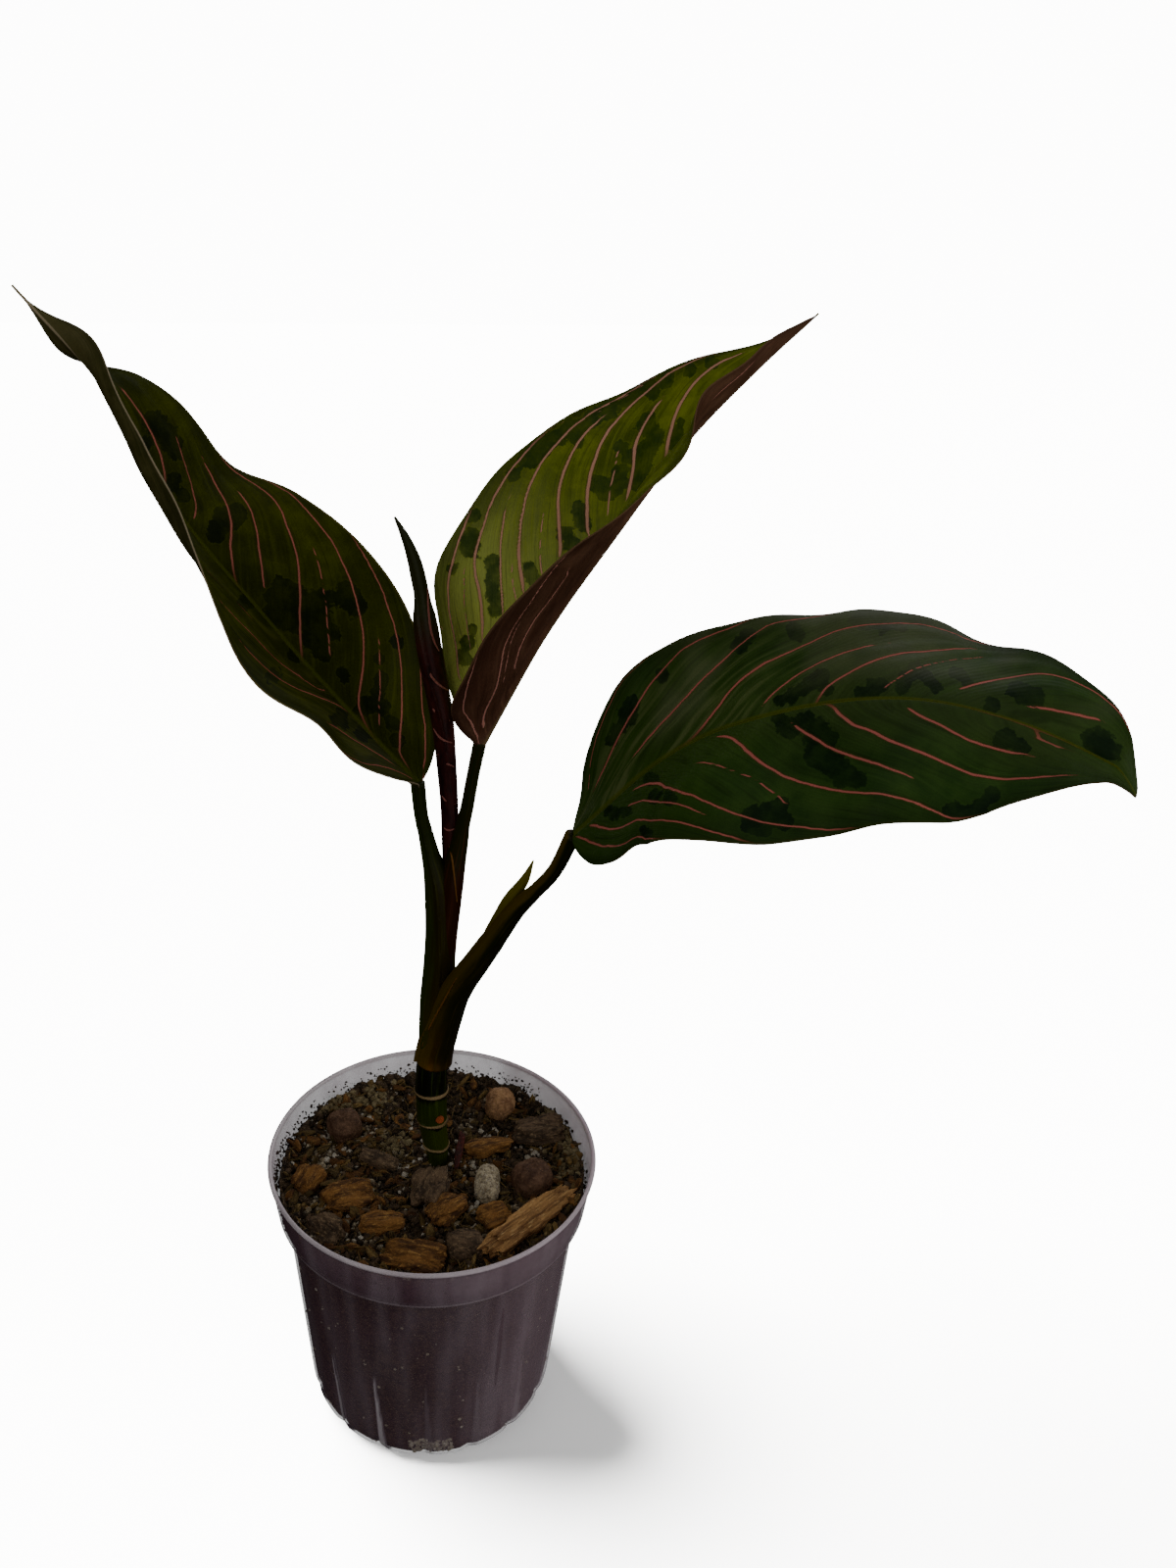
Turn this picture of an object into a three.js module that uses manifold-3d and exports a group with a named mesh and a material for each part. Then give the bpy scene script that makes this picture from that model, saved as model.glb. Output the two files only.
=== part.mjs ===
// A young potted aglaonema: a short cane with three open blades and one rolled blade, in a clear pot.
// Millimetres, +Z up. The origin is the centre of the pot's underside, and +X is the viewer's right.
import * as THREE from 'three';
import { mergeVertices } from 'three/addons/utils/BufferGeometryUtils.js';
import Module from 'manifold-3d';

const wasm = await Module();
wasm.setup();

// Clearance kept between pieces that touch.
const GAP = 0.3;

// The nursery pot: a thin tapered cup with a collar, a rolled lip and grooves round its foot.
const POT = {
  height: 100, rim: 52.5, ledge: 50, ledgeZ: 84, shoulder: 47.2, shoulderZ: 82,
  corner: 41.1, cornerZ: 11, base: 33, wall: 1.2, sectors: 64,
};
const GROOVE = { count: 16, depth: 2.2, top: 50, width: 9, first: -132 };
const DRAIN = { count: 8, ring: 24, radius: 3.2 };

// The soil's top, the bank that it makes against the wall, and what is fused into it.
const SOIL = { level: 90, bank: 3, bankStart: 38, rings: 7 };
const PERLITE = { count: 28, small: 0.9, large: 1.8, seed: 11 };

// Blade: thickness at the edge, and the rib that stands out of its underside at the base.
const BLADE = { thick: 0.8, rib: 1.7, ribWidth: 0.07, along: 26, foot: 1.3, tip: 0.5 };
// Places across one half of a blade, from the midrib to the edge.
const ACROSS = [0, 0.07, 0.2, 0.4, 0.6, 0.8, 1];

// Each open blade: midrib points from base to tip, the way its upper face looks, half width, the powers
// that shape its outline, and for each half the angle at which it lifts from that face and its curl.
// Angles are in degrees, at equal steps from base to tip. left and right are seen from the base.
const LEAVES = {
  leaf_left: {
    midrib: [[-5, 2.2, 234.2], [-29, 8, 257], [-52, 14, 281], [-73, 20, 305], [-91, 26, 335], [-114, 30, 359]],
    face: [0.45, -0.75, 0.5], half: 35, base: 0.6, point: 1.3,
    left: {
      lift: [70, 57, 58, 52, 57, 67, 74, 63, 66, 100, 125],
      curl: [20, 20, 10, 0, 10, 50, 60, 40, -10, 20, 20],
    },
    right: {
      lift: [-8, -18, -3, 4, 7, -3, -20, -22, -45, -62, -40],
      curl: [0, 10, 20, 20, 20, 10, 10, 0, 0, 0, 0],
    },
  },
  leaf_middle: {
    midrib: [[12, 0, 250], [27, 6, 280], [44, 11, 307], [62, 17, 333], [78, 21, 351], [93, 24, 366]],
    face: [-0.5, -0.75, 0.4], half: 37, base: 0.6, point: 1.3,
    left: {
      lift: [0, 3, 14, 11, 9, 3, -12, -17, -27, -40, -36],
      curl: [0, 0, 0, 10, 10, 10, 0, 0, 0, 0, 0],
    },
    right: {
      lift: [102, 84, 79, 75, 68, 61, 59, 75, 79, 88, 90],
      curl: [40, 40, 30, 20, 10, -20, -20, 20, 30, 20, 10],
    },
  },
  leaf_right: {
    midrib: [[39, -28, 239], [63, -40, 272], [87, -52, 291], [112, -64, 302], [136, -75, 303], [160, -86, 297]],
    face: [0.1, -0.5, 0.8], half: 36, base: 0.55, point: 0.8,
    left: {
      lift: [-25, -6, -4, -9, -16, -16, -21, -20, -6, 0, 1],
      curl: [20, 20, 0, -20, -20, -20, -20, -20, -20, -20, -20],
    },
    right: {
      lift: [20, 29, 26, 14, 2, -4, -6, -14, -16, 7, 27],
      curl: [-10, -10, -10, -20, -20, -20, -20, -20, -20, -10, 0],
    },
  },
};

// Round stems as [x, y, z, radius] from the bottom up. The cane swells into a ring at each old leaf scar.
const CANE = [
  [1.4, 7, 78, 3.2], [0.7, 7, 92, 3.4], [0.2, 7, 96.2, 3.6], [0.1, 7, 97.2, 4.4], [0, 7, 98.2, 4.1],
  [-1.2, 7, 106.6, 4.3], [-1.3, 7, 107.8, 5], [-1.3, 7, 109, 4.7], [-1.6, 7, 118.8, 4.8],
  [-1.6, 7, 120.2, 5.3], [-1.6, 7, 121.6, 4.9], [-1.4, 7, 129, 4.7], [-1, 7, 136, 4.4],
];
const BUD = { at: [1.6, 3.1, 111], size: [1.5, 1.2, 2.2] };
// The lowest petiole's sheath wraps the foot of the stem and opens into a channel on the way to its blade.
const PETIOLE_RIGHT = [
  [-0.9, 7, 129.4, 5.6], [-0.4, 7, 135, 5.8], [1, 6.5, 143, 5.7], [3.4, 5, 151, 5.2], [6.6, 2.6, 160, 4.3],
  [10, -0.5, 168, 3.6], [14, -4.5, 177, 3.2], [18.4, -9, 187.6, 3], [24.9, -16, 205.1, 2.5],
  [30.5, -21, 216.7, 2], [35.2, -25, 226.5, 1.9], [39.2, -28.1, 239.3, 2.1],
];
const SHEATH_TIP = [
  [19.5, -9.5, 195, 1.8], [24.4, -14.4, 208, 1.5], [27.4, -16.8, 217, 1], [29, -18, 224.2, 0.4],
];
// The next sheath up holds the left petiole, and wraps the middle one.
const PETIOLE_LEFT = [
  [-0.6, 7, 136.4, 4.5], [-0.3, 7, 145, 4.5], [0.4, 6.8, 157, 4.7], [0.9, 6.5, 163, 4.7], [1.4, 6.2, 172, 4.3],
  [1.6, 6, 181.5, 4.05], [1.4, 5.6, 192, 4], [0.8, 5.2, 199, 3.6], [-0.4, 4.8, 205, 2.9], [-1.6, 4.4, 210, 2.3],
  [-2.9, 3.8, 217, 1.9], [-4.2, 3, 224, 1.8], [-5.2, 2.2, 234.8, 2.1],
];
const PETIOLE_MIDDLE = [
  [0.3, 7, 141, 3], [0.9, 6.8, 150, 3.3], [1.6, 6.6, 160, 3.5], [2.1, 6.2, 172, 3.3], [2.5, 5.8, 182, 3.1],
  [3, 5.4, 192, 3.2], [3.8, 5, 200, 3.2], [4.4, 4.8, 207, 2.9], [5.6, 4.2, 214, 2.3], [6.6, 3.3, 221, 1.8],
  [8.2, 2.1, 229, 1.6], [9.9, 1.2, 239, 1.5], [12.1, 0, 250.6, 1.8],
];
// The new blade is still rolled. Its outer turn ends below the tip, where the roll steps in.
const ROLLED_LEAF = [
  [3.6, 6.6, 202, 1.6], [3.5, 7, 213, 2.1], [3.2, 7, 225, 2.2], [2.3, 7, 237, 2.4], [1, 7, 251, 2.7],
  [-0.3, 7, 259, 2.9], [-1.6, 7, 266, 3], [-3, 7, 274, 3], [-3.9, 7, 280, 2.9], [-4.5, 7, 284, 2.6],
  [-5, 7, 287.4, 1.8], [-5.6, 7, 291, 1.5], [-6.5, 7, 296, 1.6], [-7.6, 7, 300.6, 1.4], [-9.6, 7, 306, 1],
  [-12.1, 7, 311.2, 0.35],
];

// Loose pieces of the mix that lie in the soil's top: size is length, width and thickness, turn is in
// degrees about Z, and tilt is in degrees about the piece's own length.
const CHIPS = {
  bark_chip_long: { kind: 'slab', at: [32.3, -20.6, 93], size: [40, 9, 5], turn: 50, tilt: 16 },
  clay_pebble_left: { kind: 'ball', at: [-31.7, 17.9, 92], size: [12, 12, 11], turn: 20, tilt: 0 },
  clay_pebble_back: { kind: 'ball', at: [19, 33, 92.5], size: [10.5, 12, 11], turn: 5, tilt: 10 },
  clay_pebble_right: { kind: 'ball', at: [32.3, -1, 91.5], size: [13.5, 14, 12], turn: 30, tilt: 0 },
  flat_stone: { kind: 'slab', at: [33.5, 21.5, 92.5], size: [17, 11, 7], turn: 8, tilt: -14 },
  pumice_stone: { kind: 'ball', at: [18, -4.5, 91.5], size: [8.5, 15, 9], turn: 0, tilt: 6 },
  husk_chip_right: { kind: 'slab', at: [21.4, -18.6, 92], size: [10, 9.5, 6], turn: 35, tilt: 20 },
  husk_chip_front: { kind: 'slab', at: [6.6, -17.4, 92.5], size: [13.5, 10, 6], turn: 48, tilt: -18 },
  bark_piece_dark: { kind: 'ball', at: [13.6, -31.6, 91.5], size: [13, 11, 10], turn: 10, tilt: 0 },
  bark_piece_front: { kind: 'slab', at: [-2, -37.4, 91.5], size: [19, 12, 6], turn: -8, tilt: 22 },
  bark_piece_blunt: { kind: 'slab', at: [-0.2, -7.6, 92], size: [17, 11, 9], turn: 82, tilt: 6 },
  bark_piece_amber: { kind: 'slab', at: [-25.4, -13.6, 91.5], size: [16, 11, 6], turn: 24, tilt: 14 },
  bark_piece_red: { kind: 'slab', at: [-39.4, -7.6, 92], size: [11, 9, 7], turn: 70, tilt: -8 },
  bark_piece_left: { kind: 'slab', at: [-30, -28.4, 91.5], size: [13, 10, 6], turn: -42, tilt: 12 },
  husk_chip_left: { kind: 'slab', at: [-14, -24, 91.5], size: [13, 9, 6], turn: 15, tilt: -12 },
  wood_sliver: { kind: 'slab', at: [16, 12.4, 92], size: [17, 6.5, 5], turn: 18, tilt: -10 },
  twig_piece: { kind: 'slab', at: [-18, 3.4, 91.5], size: [15, 5, 5], turn: -16, tilt: 10 },
  dry_fibre: { kind: 'slab', at: [7.6, 8.6, 93], size: [17, 2.4, 2.6], turn: 88, tilt: 0 },
};

const COLOUR = {
  pot: 0x8d7f88, soil: 0x6b563f, cane: 0x2f4a1e, sheath: 0x5b4f1c, petiole: 0x33421a, rolled: 0x4a1a1f,
  blade: 0x2f4a1c, clay: 0x7d5a48, bark: 0x8f6a3a, husk: 0x8a6236, dark: 0x4d423b, pumice: 0xb9b4a6,
  stone: 0x74695e, fibre: 0x4a2420,
};

const rad = THREE.MathUtils.degToRad;
const lerp = THREE.MathUtils.lerp;
const clamp = THREE.MathUtils.clamp;

// Seeded random numbers from 0 to 1 (mulberry32).
function randomFrom(seed) {
  let state = seed;
  return () => {
    state = (state + 0x6d2b79f5) | 0;
    let mixed = Math.imul(state ^ (state >>> 15), 1 | state);
    mixed = (mixed + Math.imul(mixed ^ (mixed >>> 7), 61 | mixed)) ^ mixed;
    return ((mixed ^ (mixed >>> 14)) >>> 0) / 4294967296;
  };
}

// Value of a smooth curve through equally spaced keys, at t from 0 to 1.
function along(keys, t) {
  const last = keys.length - 1;
  const place = clamp(t, 0, 1) * last;
  const i = Math.min(Math.floor(place), last - 1);
  const w = place - i;
  const b = keys[i];
  const c = keys[i + 1];
  const a = i > 0 ? keys[i - 1] : 2 * b - c;
  const d = i < last - 1 ? keys[i + 2] : 2 * c - b;
  return 0.5 * (2 * b + (c - a) * w + (2 * a - 5 * b + 4 * c - d) * w * w + (3 * b - a - 3 * c + d) * w ** 3);
}

function pointAlong(points, t) {
  return new THREE.Vector3(...[0, 1, 2].map((axis) => along(points.map((p) => p[axis]), t)));
}

function toGeometry(positions, triangles) {
  const geometry = new THREE.BufferGeometry();
  geometry.setAttribute('position', new THREE.Float32BufferAttribute(positions.flatMap((p) => p.toArray()), 3));
  geometry.setIndex(triangles.flat());
  return geometry;
}

// Closed skin over rings of equal length, each ring counter-clockwise seen from the last ring's side.
// Each square is split along its shorter diagonal. The first and last rings are capped with a fan.
function skin(rings) {
  const count = rings[0].length;
  const positions = rings.flat();
  const triangles = [];
  for (let i = 0; i < rings.length - 1; i += 1) {
    for (let j = 0; j < count; j += 1) {
      const k = (j + 1) % count;
      const [a, b, c, d] = [i * count + j, i * count + k, (i + 1) * count + k, (i + 1) * count + j];
      const isFirstShorter = positions[a].distanceTo(positions[c]) < positions[b].distanceTo(positions[d]);
      triangles.push(...(isFirstShorter ? [[a, b, c], [a, c, d]] : [[a, b, d], [b, c, d]]));
    }
  }
  for (const [ring, turn] of [[0, -1], [rings.length - 1, 1]]) {
    const middle = rings[ring].reduce((sum, p) => sum.add(p), new THREE.Vector3()).divideScalar(count);
    positions.push(middle);
    for (let j = 0; j < count; j += 1) {
      const edge = [ring * count + j, ring * count + ((j + 1) % count)];
      triangles.push(turn > 0 ? [...edge, positions.length - 1] : [edge[1], edge[0], positions.length - 1]);
    }
  }
  return toGeometry(positions, triangles);
}

function toSolid(geometry) {
  const bare = geometry.clone();
  bare.deleteAttribute('normal');
  bare.deleteAttribute('uv');
  const merged = mergeVertices(bare, 1e-4);
  return new wasm.Manifold(new wasm.Mesh({
    numProp: 3,
    vertProperties: new Float32Array(merged.getAttribute('position').array),
    triVerts: new Uint32Array(merged.index.array),
  }));
}

// The geometry of a solid's largest piece: scraps that a cut leaves loose are dropped.
function fromSolid(solid) {
  const largest = solid.decompose().sort((a, b) => b.volume() - a.volume())[0];
  const mesh = largest.getMesh();
  const geometry = new THREE.BufferGeometry();
  geometry.setAttribute('position', new THREE.BufferAttribute(new Float32Array(mesh.vertProperties), 3));
  geometry.setIndex(new THREE.BufferAttribute(new Uint32Array(mesh.triVerts), 1));
  return geometry;
}

// Round stem through [x, y, z, radius] stations, each grown by extra, with its first and last pushed out too.
function stem(stations, sides, extra = 0) {
  const centres = stations.map(([x, y, z]) => new THREE.Vector3(x, y, z));
  const rings = stations.map(([, , , radius], i) => {
    const before = centres[Math.max(i - 1, 0)];
    const after = centres[Math.min(i + 1, centres.length - 1)];
    const forward = after.clone().sub(before).normalize();
    const across = new THREE.Vector3(0, 1, 0).cross(forward).normalize();
    const up = forward.clone().cross(across);
    const isEnd = i === 0 || i === centres.length - 1;
    const push = isEnd ? (i === 0 ? -extra : extra) : 0;
    const centre = centres[i].clone().addScaledVector(forward, push);
    return Array.from({ length: sides }, (_, j) => {
      const turn = (2 * Math.PI * j) / sides;
      return centre.clone()
        .addScaledVector(across, (radius + extra) * Math.cos(turn))
        .addScaledVector(up, (radius + extra) * Math.sin(turn));
    });
  });
  return skin(rings);
}

// How far a foot groove goes in at an angle and a height: a wedge, widest and deepest at the bottom.
function grooveDepth(angle, z) {
  const share = clamp((GROOVE.top - z) / GROOVE.top, 0, 1);
  const step = 360 / GROOVE.count;
  const offset = THREE.MathUtils.euclideanModulo(THREE.MathUtils.radToDeg(angle) - GROOVE.first + step / 2, step);
  const nearness = clamp(1 - Math.abs(offset - step / 2) / (GROOVE.width / 2), 0, 1);
  return GROOVE.depth * share * nearness;
}

// The pot's outer profile as [radius, height] from the foot to the lip, moved in by a wall of this thickness.
function wallProfile(inset) {
  const foot = [0, 0.35, 0.7, 1].map((t) => [
    (1 - t) ** 2 * POT.base + 2 * t * (1 - t) * (POT.corner - 0.9) + t * t * POT.corner - inset,
    t * t * POT.cornerZ + inset * (1 - t),
  ]);
  const wall = [GROOVE.top, POT.shoulderZ].map((z) => [
    lerp(POT.corner, POT.shoulder, (z - POT.cornerZ) / (POT.shoulderZ - POT.cornerZ)) - inset,
    z,
  ]);
  return [...foot, ...wall, [POT.ledge - inset, POT.ledgeZ]];
}

function ringAt(radius, z) {
  return Array.from({ length: POT.sectors }, (_, j) => {
    const angle = rad(GROOVE.first) + (2 * Math.PI * j) / POT.sectors;
    const reach = radius - grooveDepth(angle, z);
    return new THREE.Vector3(reach * Math.cos(angle), reach * Math.sin(angle), z);
  });
}

function makePot() {
  const outside = wallProfile(0);
  const inside = wallProfile(POT.wall).reverse();
  const lip = [
    [POT.rim - 0.6, POT.height - 1.6], [POT.rim, POT.height - 0.9], [POT.rim - 0.4, POT.height],
    [POT.rim - 1.4, POT.height], [POT.rim - 1.8, POT.height - 1.4],
  ];
  const rings = [...outside, ...lip, ...inside].map(([radius, z]) => ringAt(radius, z));
  let solid = toSolid(skin(rings));
  for (let i = 0; i < DRAIN.count; i += 1) {
    const hole = new THREE.CylinderGeometry(DRAIN.radius, DRAIN.radius, 4 * POT.wall, 8);
    const angle = rad(GROOVE.first) + (2 * Math.PI * i) / DRAIN.count;
    hole.rotateX(Math.PI / 2).translate(DRAIN.ring * Math.cos(angle), DRAIN.ring * Math.sin(angle), 0);
    solid = solid.subtract(toSolid(hole));
  }
  return fromSolid(solid);
}

// Height of the soil's top: a bank at the wall and lumps made of a few crossed waves.
function soilHeight(x, y) {
  const bank = SOIL.bank * clamp((Math.hypot(x, y) - SOIL.bankStart) / 10, 0, 1) ** 2;
  const lumps = 0.8 * Math.sin(0.45 * x + 1) * Math.sin(0.5 * y + 2) + 0.5 * Math.sin(1.1 * x) * Math.cos(0.9 * y);
  return SOIL.level + bank + lumps;
}

function makeSoil(holes) {
  const profile = wallProfile(POT.wall + GAP).filter(([, z]) => z <= POT.ledgeZ);
  const side = profile.map(([radius, z]) => ringAt(radius, z));
  const edge = POT.ledge - POT.wall;
  const top = Array.from({ length: SOIL.rings }, (_, i) => {
    const radius = edge * (1 - i / SOIL.rings);
    return ringAt(radius, POT.height).map((p) => p.setZ(soilHeight(p.x, p.y)));
  });
  let solid = toSolid(skin([...side, ...top]));
  const random = randomFrom(PERLITE.seed);
  for (let i = 0; i < PERLITE.count; i += 1) {
    const angle = 2 * Math.PI * random();
    const reach = (edge - 3) * Math.sqrt(random());
    const radius = lerp(PERLITE.small, PERLITE.large, random() ** 2);
    const [x, y] = [reach * Math.cos(angle), reach * Math.sin(angle)];
    const bead = new THREE.IcosahedronGeometry(radius, 0);
    bead.rotateZ(angle * 3).translate(x, y, soilHeight(x, y) + 0.25 * radius);
    solid = solid.add(toSolid(bead));
  }
  return fromSolid(solid.subtract(wasm.Manifold.union(holes)));
}

// One loose piece of the mix: a worn ball or a bevelled slab, uneven by its own seed, grown by extra all round.
function chipShape({ kind, at, size, turn, tilt }, seed, extra = 0) {
  const raw = kind === 'ball' ? new THREE.IcosahedronGeometry(0.5, 1) : new THREE.BoxGeometry(1, 1, 1, 4, 3, 1);
  raw.deleteAttribute('normal');
  raw.deleteAttribute('uv');
  const shape = mergeVertices(raw, 1e-4);
  const random = randomFrom(seed);
  const position = shape.getAttribute('position');
  const [length, width, thick] = size.map((side) => side + 2 * extra);
  for (let i = 0; i < position.count; i += 1) {
    const [x, y, z] = [position.getX(i), position.getY(i), position.getZ(i)];
    const worn = kind === 'ball' ? 1 - 0.1 * random() : 1 - 0.2 * random() - 0.28 * Math.abs(x * y) * 4;
    position.setXYZ(i, x * worn * length, y * worn * width, z * (1 - 0.2 * random()) * thick);
  }
  shape.rotateX(rad(tilt)).rotateZ(rad(turn)).translate(...at);
  return shape;
}

// Half width of a blade at t, from a power curve that peaks at its half width.
function halfWidth(leaf, t) {
  const peak = leaf.base / (leaf.base + leaf.point);
  const shape = t ** leaf.base * (1 - t) ** leaf.point;
  const floor = lerp(BLADE.foot, BLADE.tip, t);
  return Math.max(floor, (leaf.half * shape) / (peak ** leaf.base * (1 - peak) ** leaf.point));
}

// One point of a blade's middle surface: out from the midrib along a line that lifts and curls.
function bladePoint(leaf, frame, side, t, v) {
  const { lift, curl } = side < 0 ? leaf.left : leaf.right;
  const steps = 12;
  const reach = (halfWidth(leaf, t) * v) / steps;
  const point = frame.middle.clone();
  for (let i = 0; i < steps; i += 1) {
    const angle = rad(along(lift, t) + along(curl, t) * (v * (i + 0.5) / steps - 0.5));
    point.addScaledVector(frame.across, side * Math.cos(angle) * reach);
    point.addScaledVector(frame.up, Math.sin(angle) * reach);
  }
  return point;
}

// A blade is a grid of points from its left edge over the midrib to its right edge, given a thickness
// along the grid's own normals, with the rib added below the midrib. Both faces share their diagonals.
// With extra, it is that much thicker on each face and longer at its foot.
function makeLeaf(leaf, extra = 0) {
  const face = new THREE.Vector3(...leaf.face).normalize();
  const columns = [...ACROSS.slice(1).reverse().map((v) => [-1, v]), ...ACROSS.map((v) => [1, v])];
  const grid = [];
  for (let i = 0; i <= BLADE.along; i += 1) {
    const t = i / BLADE.along;
    const forward = pointAlong(leaf.midrib, t + 0.01).sub(pointAlong(leaf.midrib, t - 0.01)).normalize();
    const middle = pointAlong(leaf.midrib, t).addScaledVector(forward, i === 0 ? -extra : 0);
    const across = forward.clone().cross(face).normalize();
    const up = across.clone().cross(forward);
    grid.push(columns.map(([side, v]) => bladePoint(leaf, { middle, across, up }, side, t, v)));
  }
  const upper = [];
  const lower = [];
  grid.forEach((row, i) => row.forEach((point, j) => {
    const down = grid[Math.max(i - 1, 0)][j];
    const on = grid[Math.min(i + 1, BLADE.along)][j];
    const left = row[Math.max(j - 1, 0)];
    const right = row[Math.min(j + 1, row.length - 1)];
    const normal = right.clone().sub(left).cross(on.clone().sub(down)).normalize();
    const rib = BLADE.rib * (1 - 0.85 * i / BLADE.along) * Math.exp(-((columns[j][1] / BLADE.ribWidth) ** 2));
    upper.push(point.clone().addScaledVector(normal, BLADE.thick / 2 + extra));
    lower.push(point.clone().addScaledVector(normal, -BLADE.thick / 2 - rib - extra));
  }));
  const wide = columns.length;
  const at = (i, j) => i * wide + j;
  const total = upper.length;
  const triangles = [];
  for (let i = 0; i < BLADE.along; i += 1) {
    for (let j = 0; j < wide - 1; j += 1) {
      const [a, b, c, d] = [at(i, j), at(i, j + 1), at(i + 1, j + 1), at(i + 1, j)];
      triangles.push([a, b, c], [a, c, d], [total + a, total + c, total + b], [total + a, total + d, total + c]);
    }
    for (const [p, q] of [[at(i + 1, 0), at(i, 0)], [at(i, wide - 1), at(i + 1, wide - 1)]]) {
      triangles.push([p, total + q, q], [p, total + p, total + q]);
    }
  }
  for (let j = 0; j < wide - 1; j += 1) {
    for (const [p, q] of [[at(0, j), at(0, j + 1)], [at(BLADE.along, j + 1), at(BLADE.along, j)]]) {
      triangles.push([p, total + q, q], [p, total + p, total + q]);
    }
  }
  return toGeometry([...upper, ...lower], triangles);
}

const plant = new THREE.Group();

function addPiece(name, geometry, colour, roughness = 0.6) {
  const material = new THREE.MeshStandardMaterial({ color: colour, roughness, metalness: 0 });
  const mesh = new THREE.Mesh(geometry, material);
  mesh.name = name;
  plant.add(mesh);
}

function makeStems() {
  const rolled = toSolid(stem(ROLLED_LEAF, 12));
  const rolledHole = toSolid(stem(ROLLED_LEAF, 12, GAP));
  const middleHole = toSolid(stem(PETIOLE_MIDDLE, 12, GAP));
  const leftHole = toSolid(stem(PETIOLE_LEFT, 12, GAP));
  const caneHole = toSolid(stem(CANE, 12, GAP));
  const bud = new THREE.IcosahedronGeometry(1, 1).scale(...BUD.size).translate(...BUD.at);
  const leafHole = (name) => toSolid(makeLeaf(LEAVES[name], GAP));
  const cane = toSolid(stem(CANE, 12)).add(toSolid(bud));
  const middle = toSolid(stem(PETIOLE_MIDDLE, 12)).subtract(rolledHole).subtract(leafHole('leaf_middle'));
  const left = toSolid(stem(PETIOLE_LEFT, 12)).subtract(middleHole).subtract(rolledHole)
    .subtract(leafHole('leaf_left'));
  const right = toSolid(stem(PETIOLE_RIGHT, 12)).subtract(leftHole).subtract(middleHole).subtract(caneHole)
    .subtract(leafHole('leaf_right')).add(toSolid(stem(SHEATH_TIP, 8)));
  addPiece('cane', fromSolid(cane), COLOUR.cane, 0.45);
  addPiece('petiole_right', fromSolid(right), COLOUR.sheath, 0.5);
  addPiece('petiole_left', fromSolid(left), COLOUR.petiole, 0.5);
  addPiece('petiole_middle', fromSolid(middle), COLOUR.petiole, 0.5);
  addPiece('rolled_leaf', fromSolid(rolled), COLOUR.rolled, 0.45);
  return caneHole;
}

// Chips are placed one by one, and each is cut clear of those before it and of the cane.
function makeChips(caneHole) {
  const chipColour = (name) => {
    const key = ['clay', 'pumice', 'husk', 'stone', 'fibre', 'dark', 'blunt', 'twig'].find((k) => name.includes(k));
    return COLOUR[{ blunt: 'dark', twig: 'dark' }[key] ?? key] ?? COLOUR.bark;
  };
  const holes = [caneHole];
  Object.entries(CHIPS).forEach(([name, chip], i) => {
    const solid = toSolid(chipShape(chip, i + 1)).subtract(wasm.Manifold.union(holes));
    addPiece(name, fromSolid(solid), chipColour(name), 0.9);
    holes.push(toSolid(chipShape(chip, i + 1, GAP)));
  });
  return holes;
}

addPiece('pot', makePot(), COLOUR.pot, 0.3);
const holes = makeChips(makeStems());
addPiece('potting_soil', makeSoil(holes), COLOUR.soil, 0.95);
for (const [name, leaf] of Object.entries(LEAVES)) {
  addPiece(name, makeLeaf(leaf), COLOUR.blade, 0.4);
}

export default plant;
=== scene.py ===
import math
from functools import partial

import bpy
import numpy as np
from mathutils import Matrix, Vector


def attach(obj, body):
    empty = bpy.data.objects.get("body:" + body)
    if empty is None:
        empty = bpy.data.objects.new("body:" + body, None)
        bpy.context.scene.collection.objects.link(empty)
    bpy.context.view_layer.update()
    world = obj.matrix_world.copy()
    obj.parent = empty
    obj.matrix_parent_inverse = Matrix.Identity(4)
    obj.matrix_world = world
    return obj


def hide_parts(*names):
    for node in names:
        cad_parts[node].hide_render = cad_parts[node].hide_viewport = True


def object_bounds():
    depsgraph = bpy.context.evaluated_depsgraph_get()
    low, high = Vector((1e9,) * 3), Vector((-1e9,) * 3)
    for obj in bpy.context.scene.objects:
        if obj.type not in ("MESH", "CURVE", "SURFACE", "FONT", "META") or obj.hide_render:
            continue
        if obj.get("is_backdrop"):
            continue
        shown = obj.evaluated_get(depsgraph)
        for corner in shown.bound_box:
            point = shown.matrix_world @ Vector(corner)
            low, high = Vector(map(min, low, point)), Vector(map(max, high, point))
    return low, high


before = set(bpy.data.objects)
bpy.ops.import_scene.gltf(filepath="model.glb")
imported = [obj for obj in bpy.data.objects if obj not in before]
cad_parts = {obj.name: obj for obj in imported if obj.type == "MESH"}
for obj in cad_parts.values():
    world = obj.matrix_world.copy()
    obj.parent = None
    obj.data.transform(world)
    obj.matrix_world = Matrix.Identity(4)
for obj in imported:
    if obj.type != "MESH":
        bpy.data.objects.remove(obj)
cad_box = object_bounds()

# A young potted aglaonema in a clear nursery pot. Shapes are worked out in millimetres in the frame of
# the solids, and go into the meshes in metres.
MM = 0.001

# The photograph's camera: its place in millimetres, its fall below the horizon and its roll in degrees,
# and a lens as long as its frame's longer side.
CAMERA = {"at": (42.4, -381.3, 453.0), "fall": 29.29, "roll": 3.55, "lens": 36.0}
FRAME_WIDE, FRAME_HIGH = 1200, 1600

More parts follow.
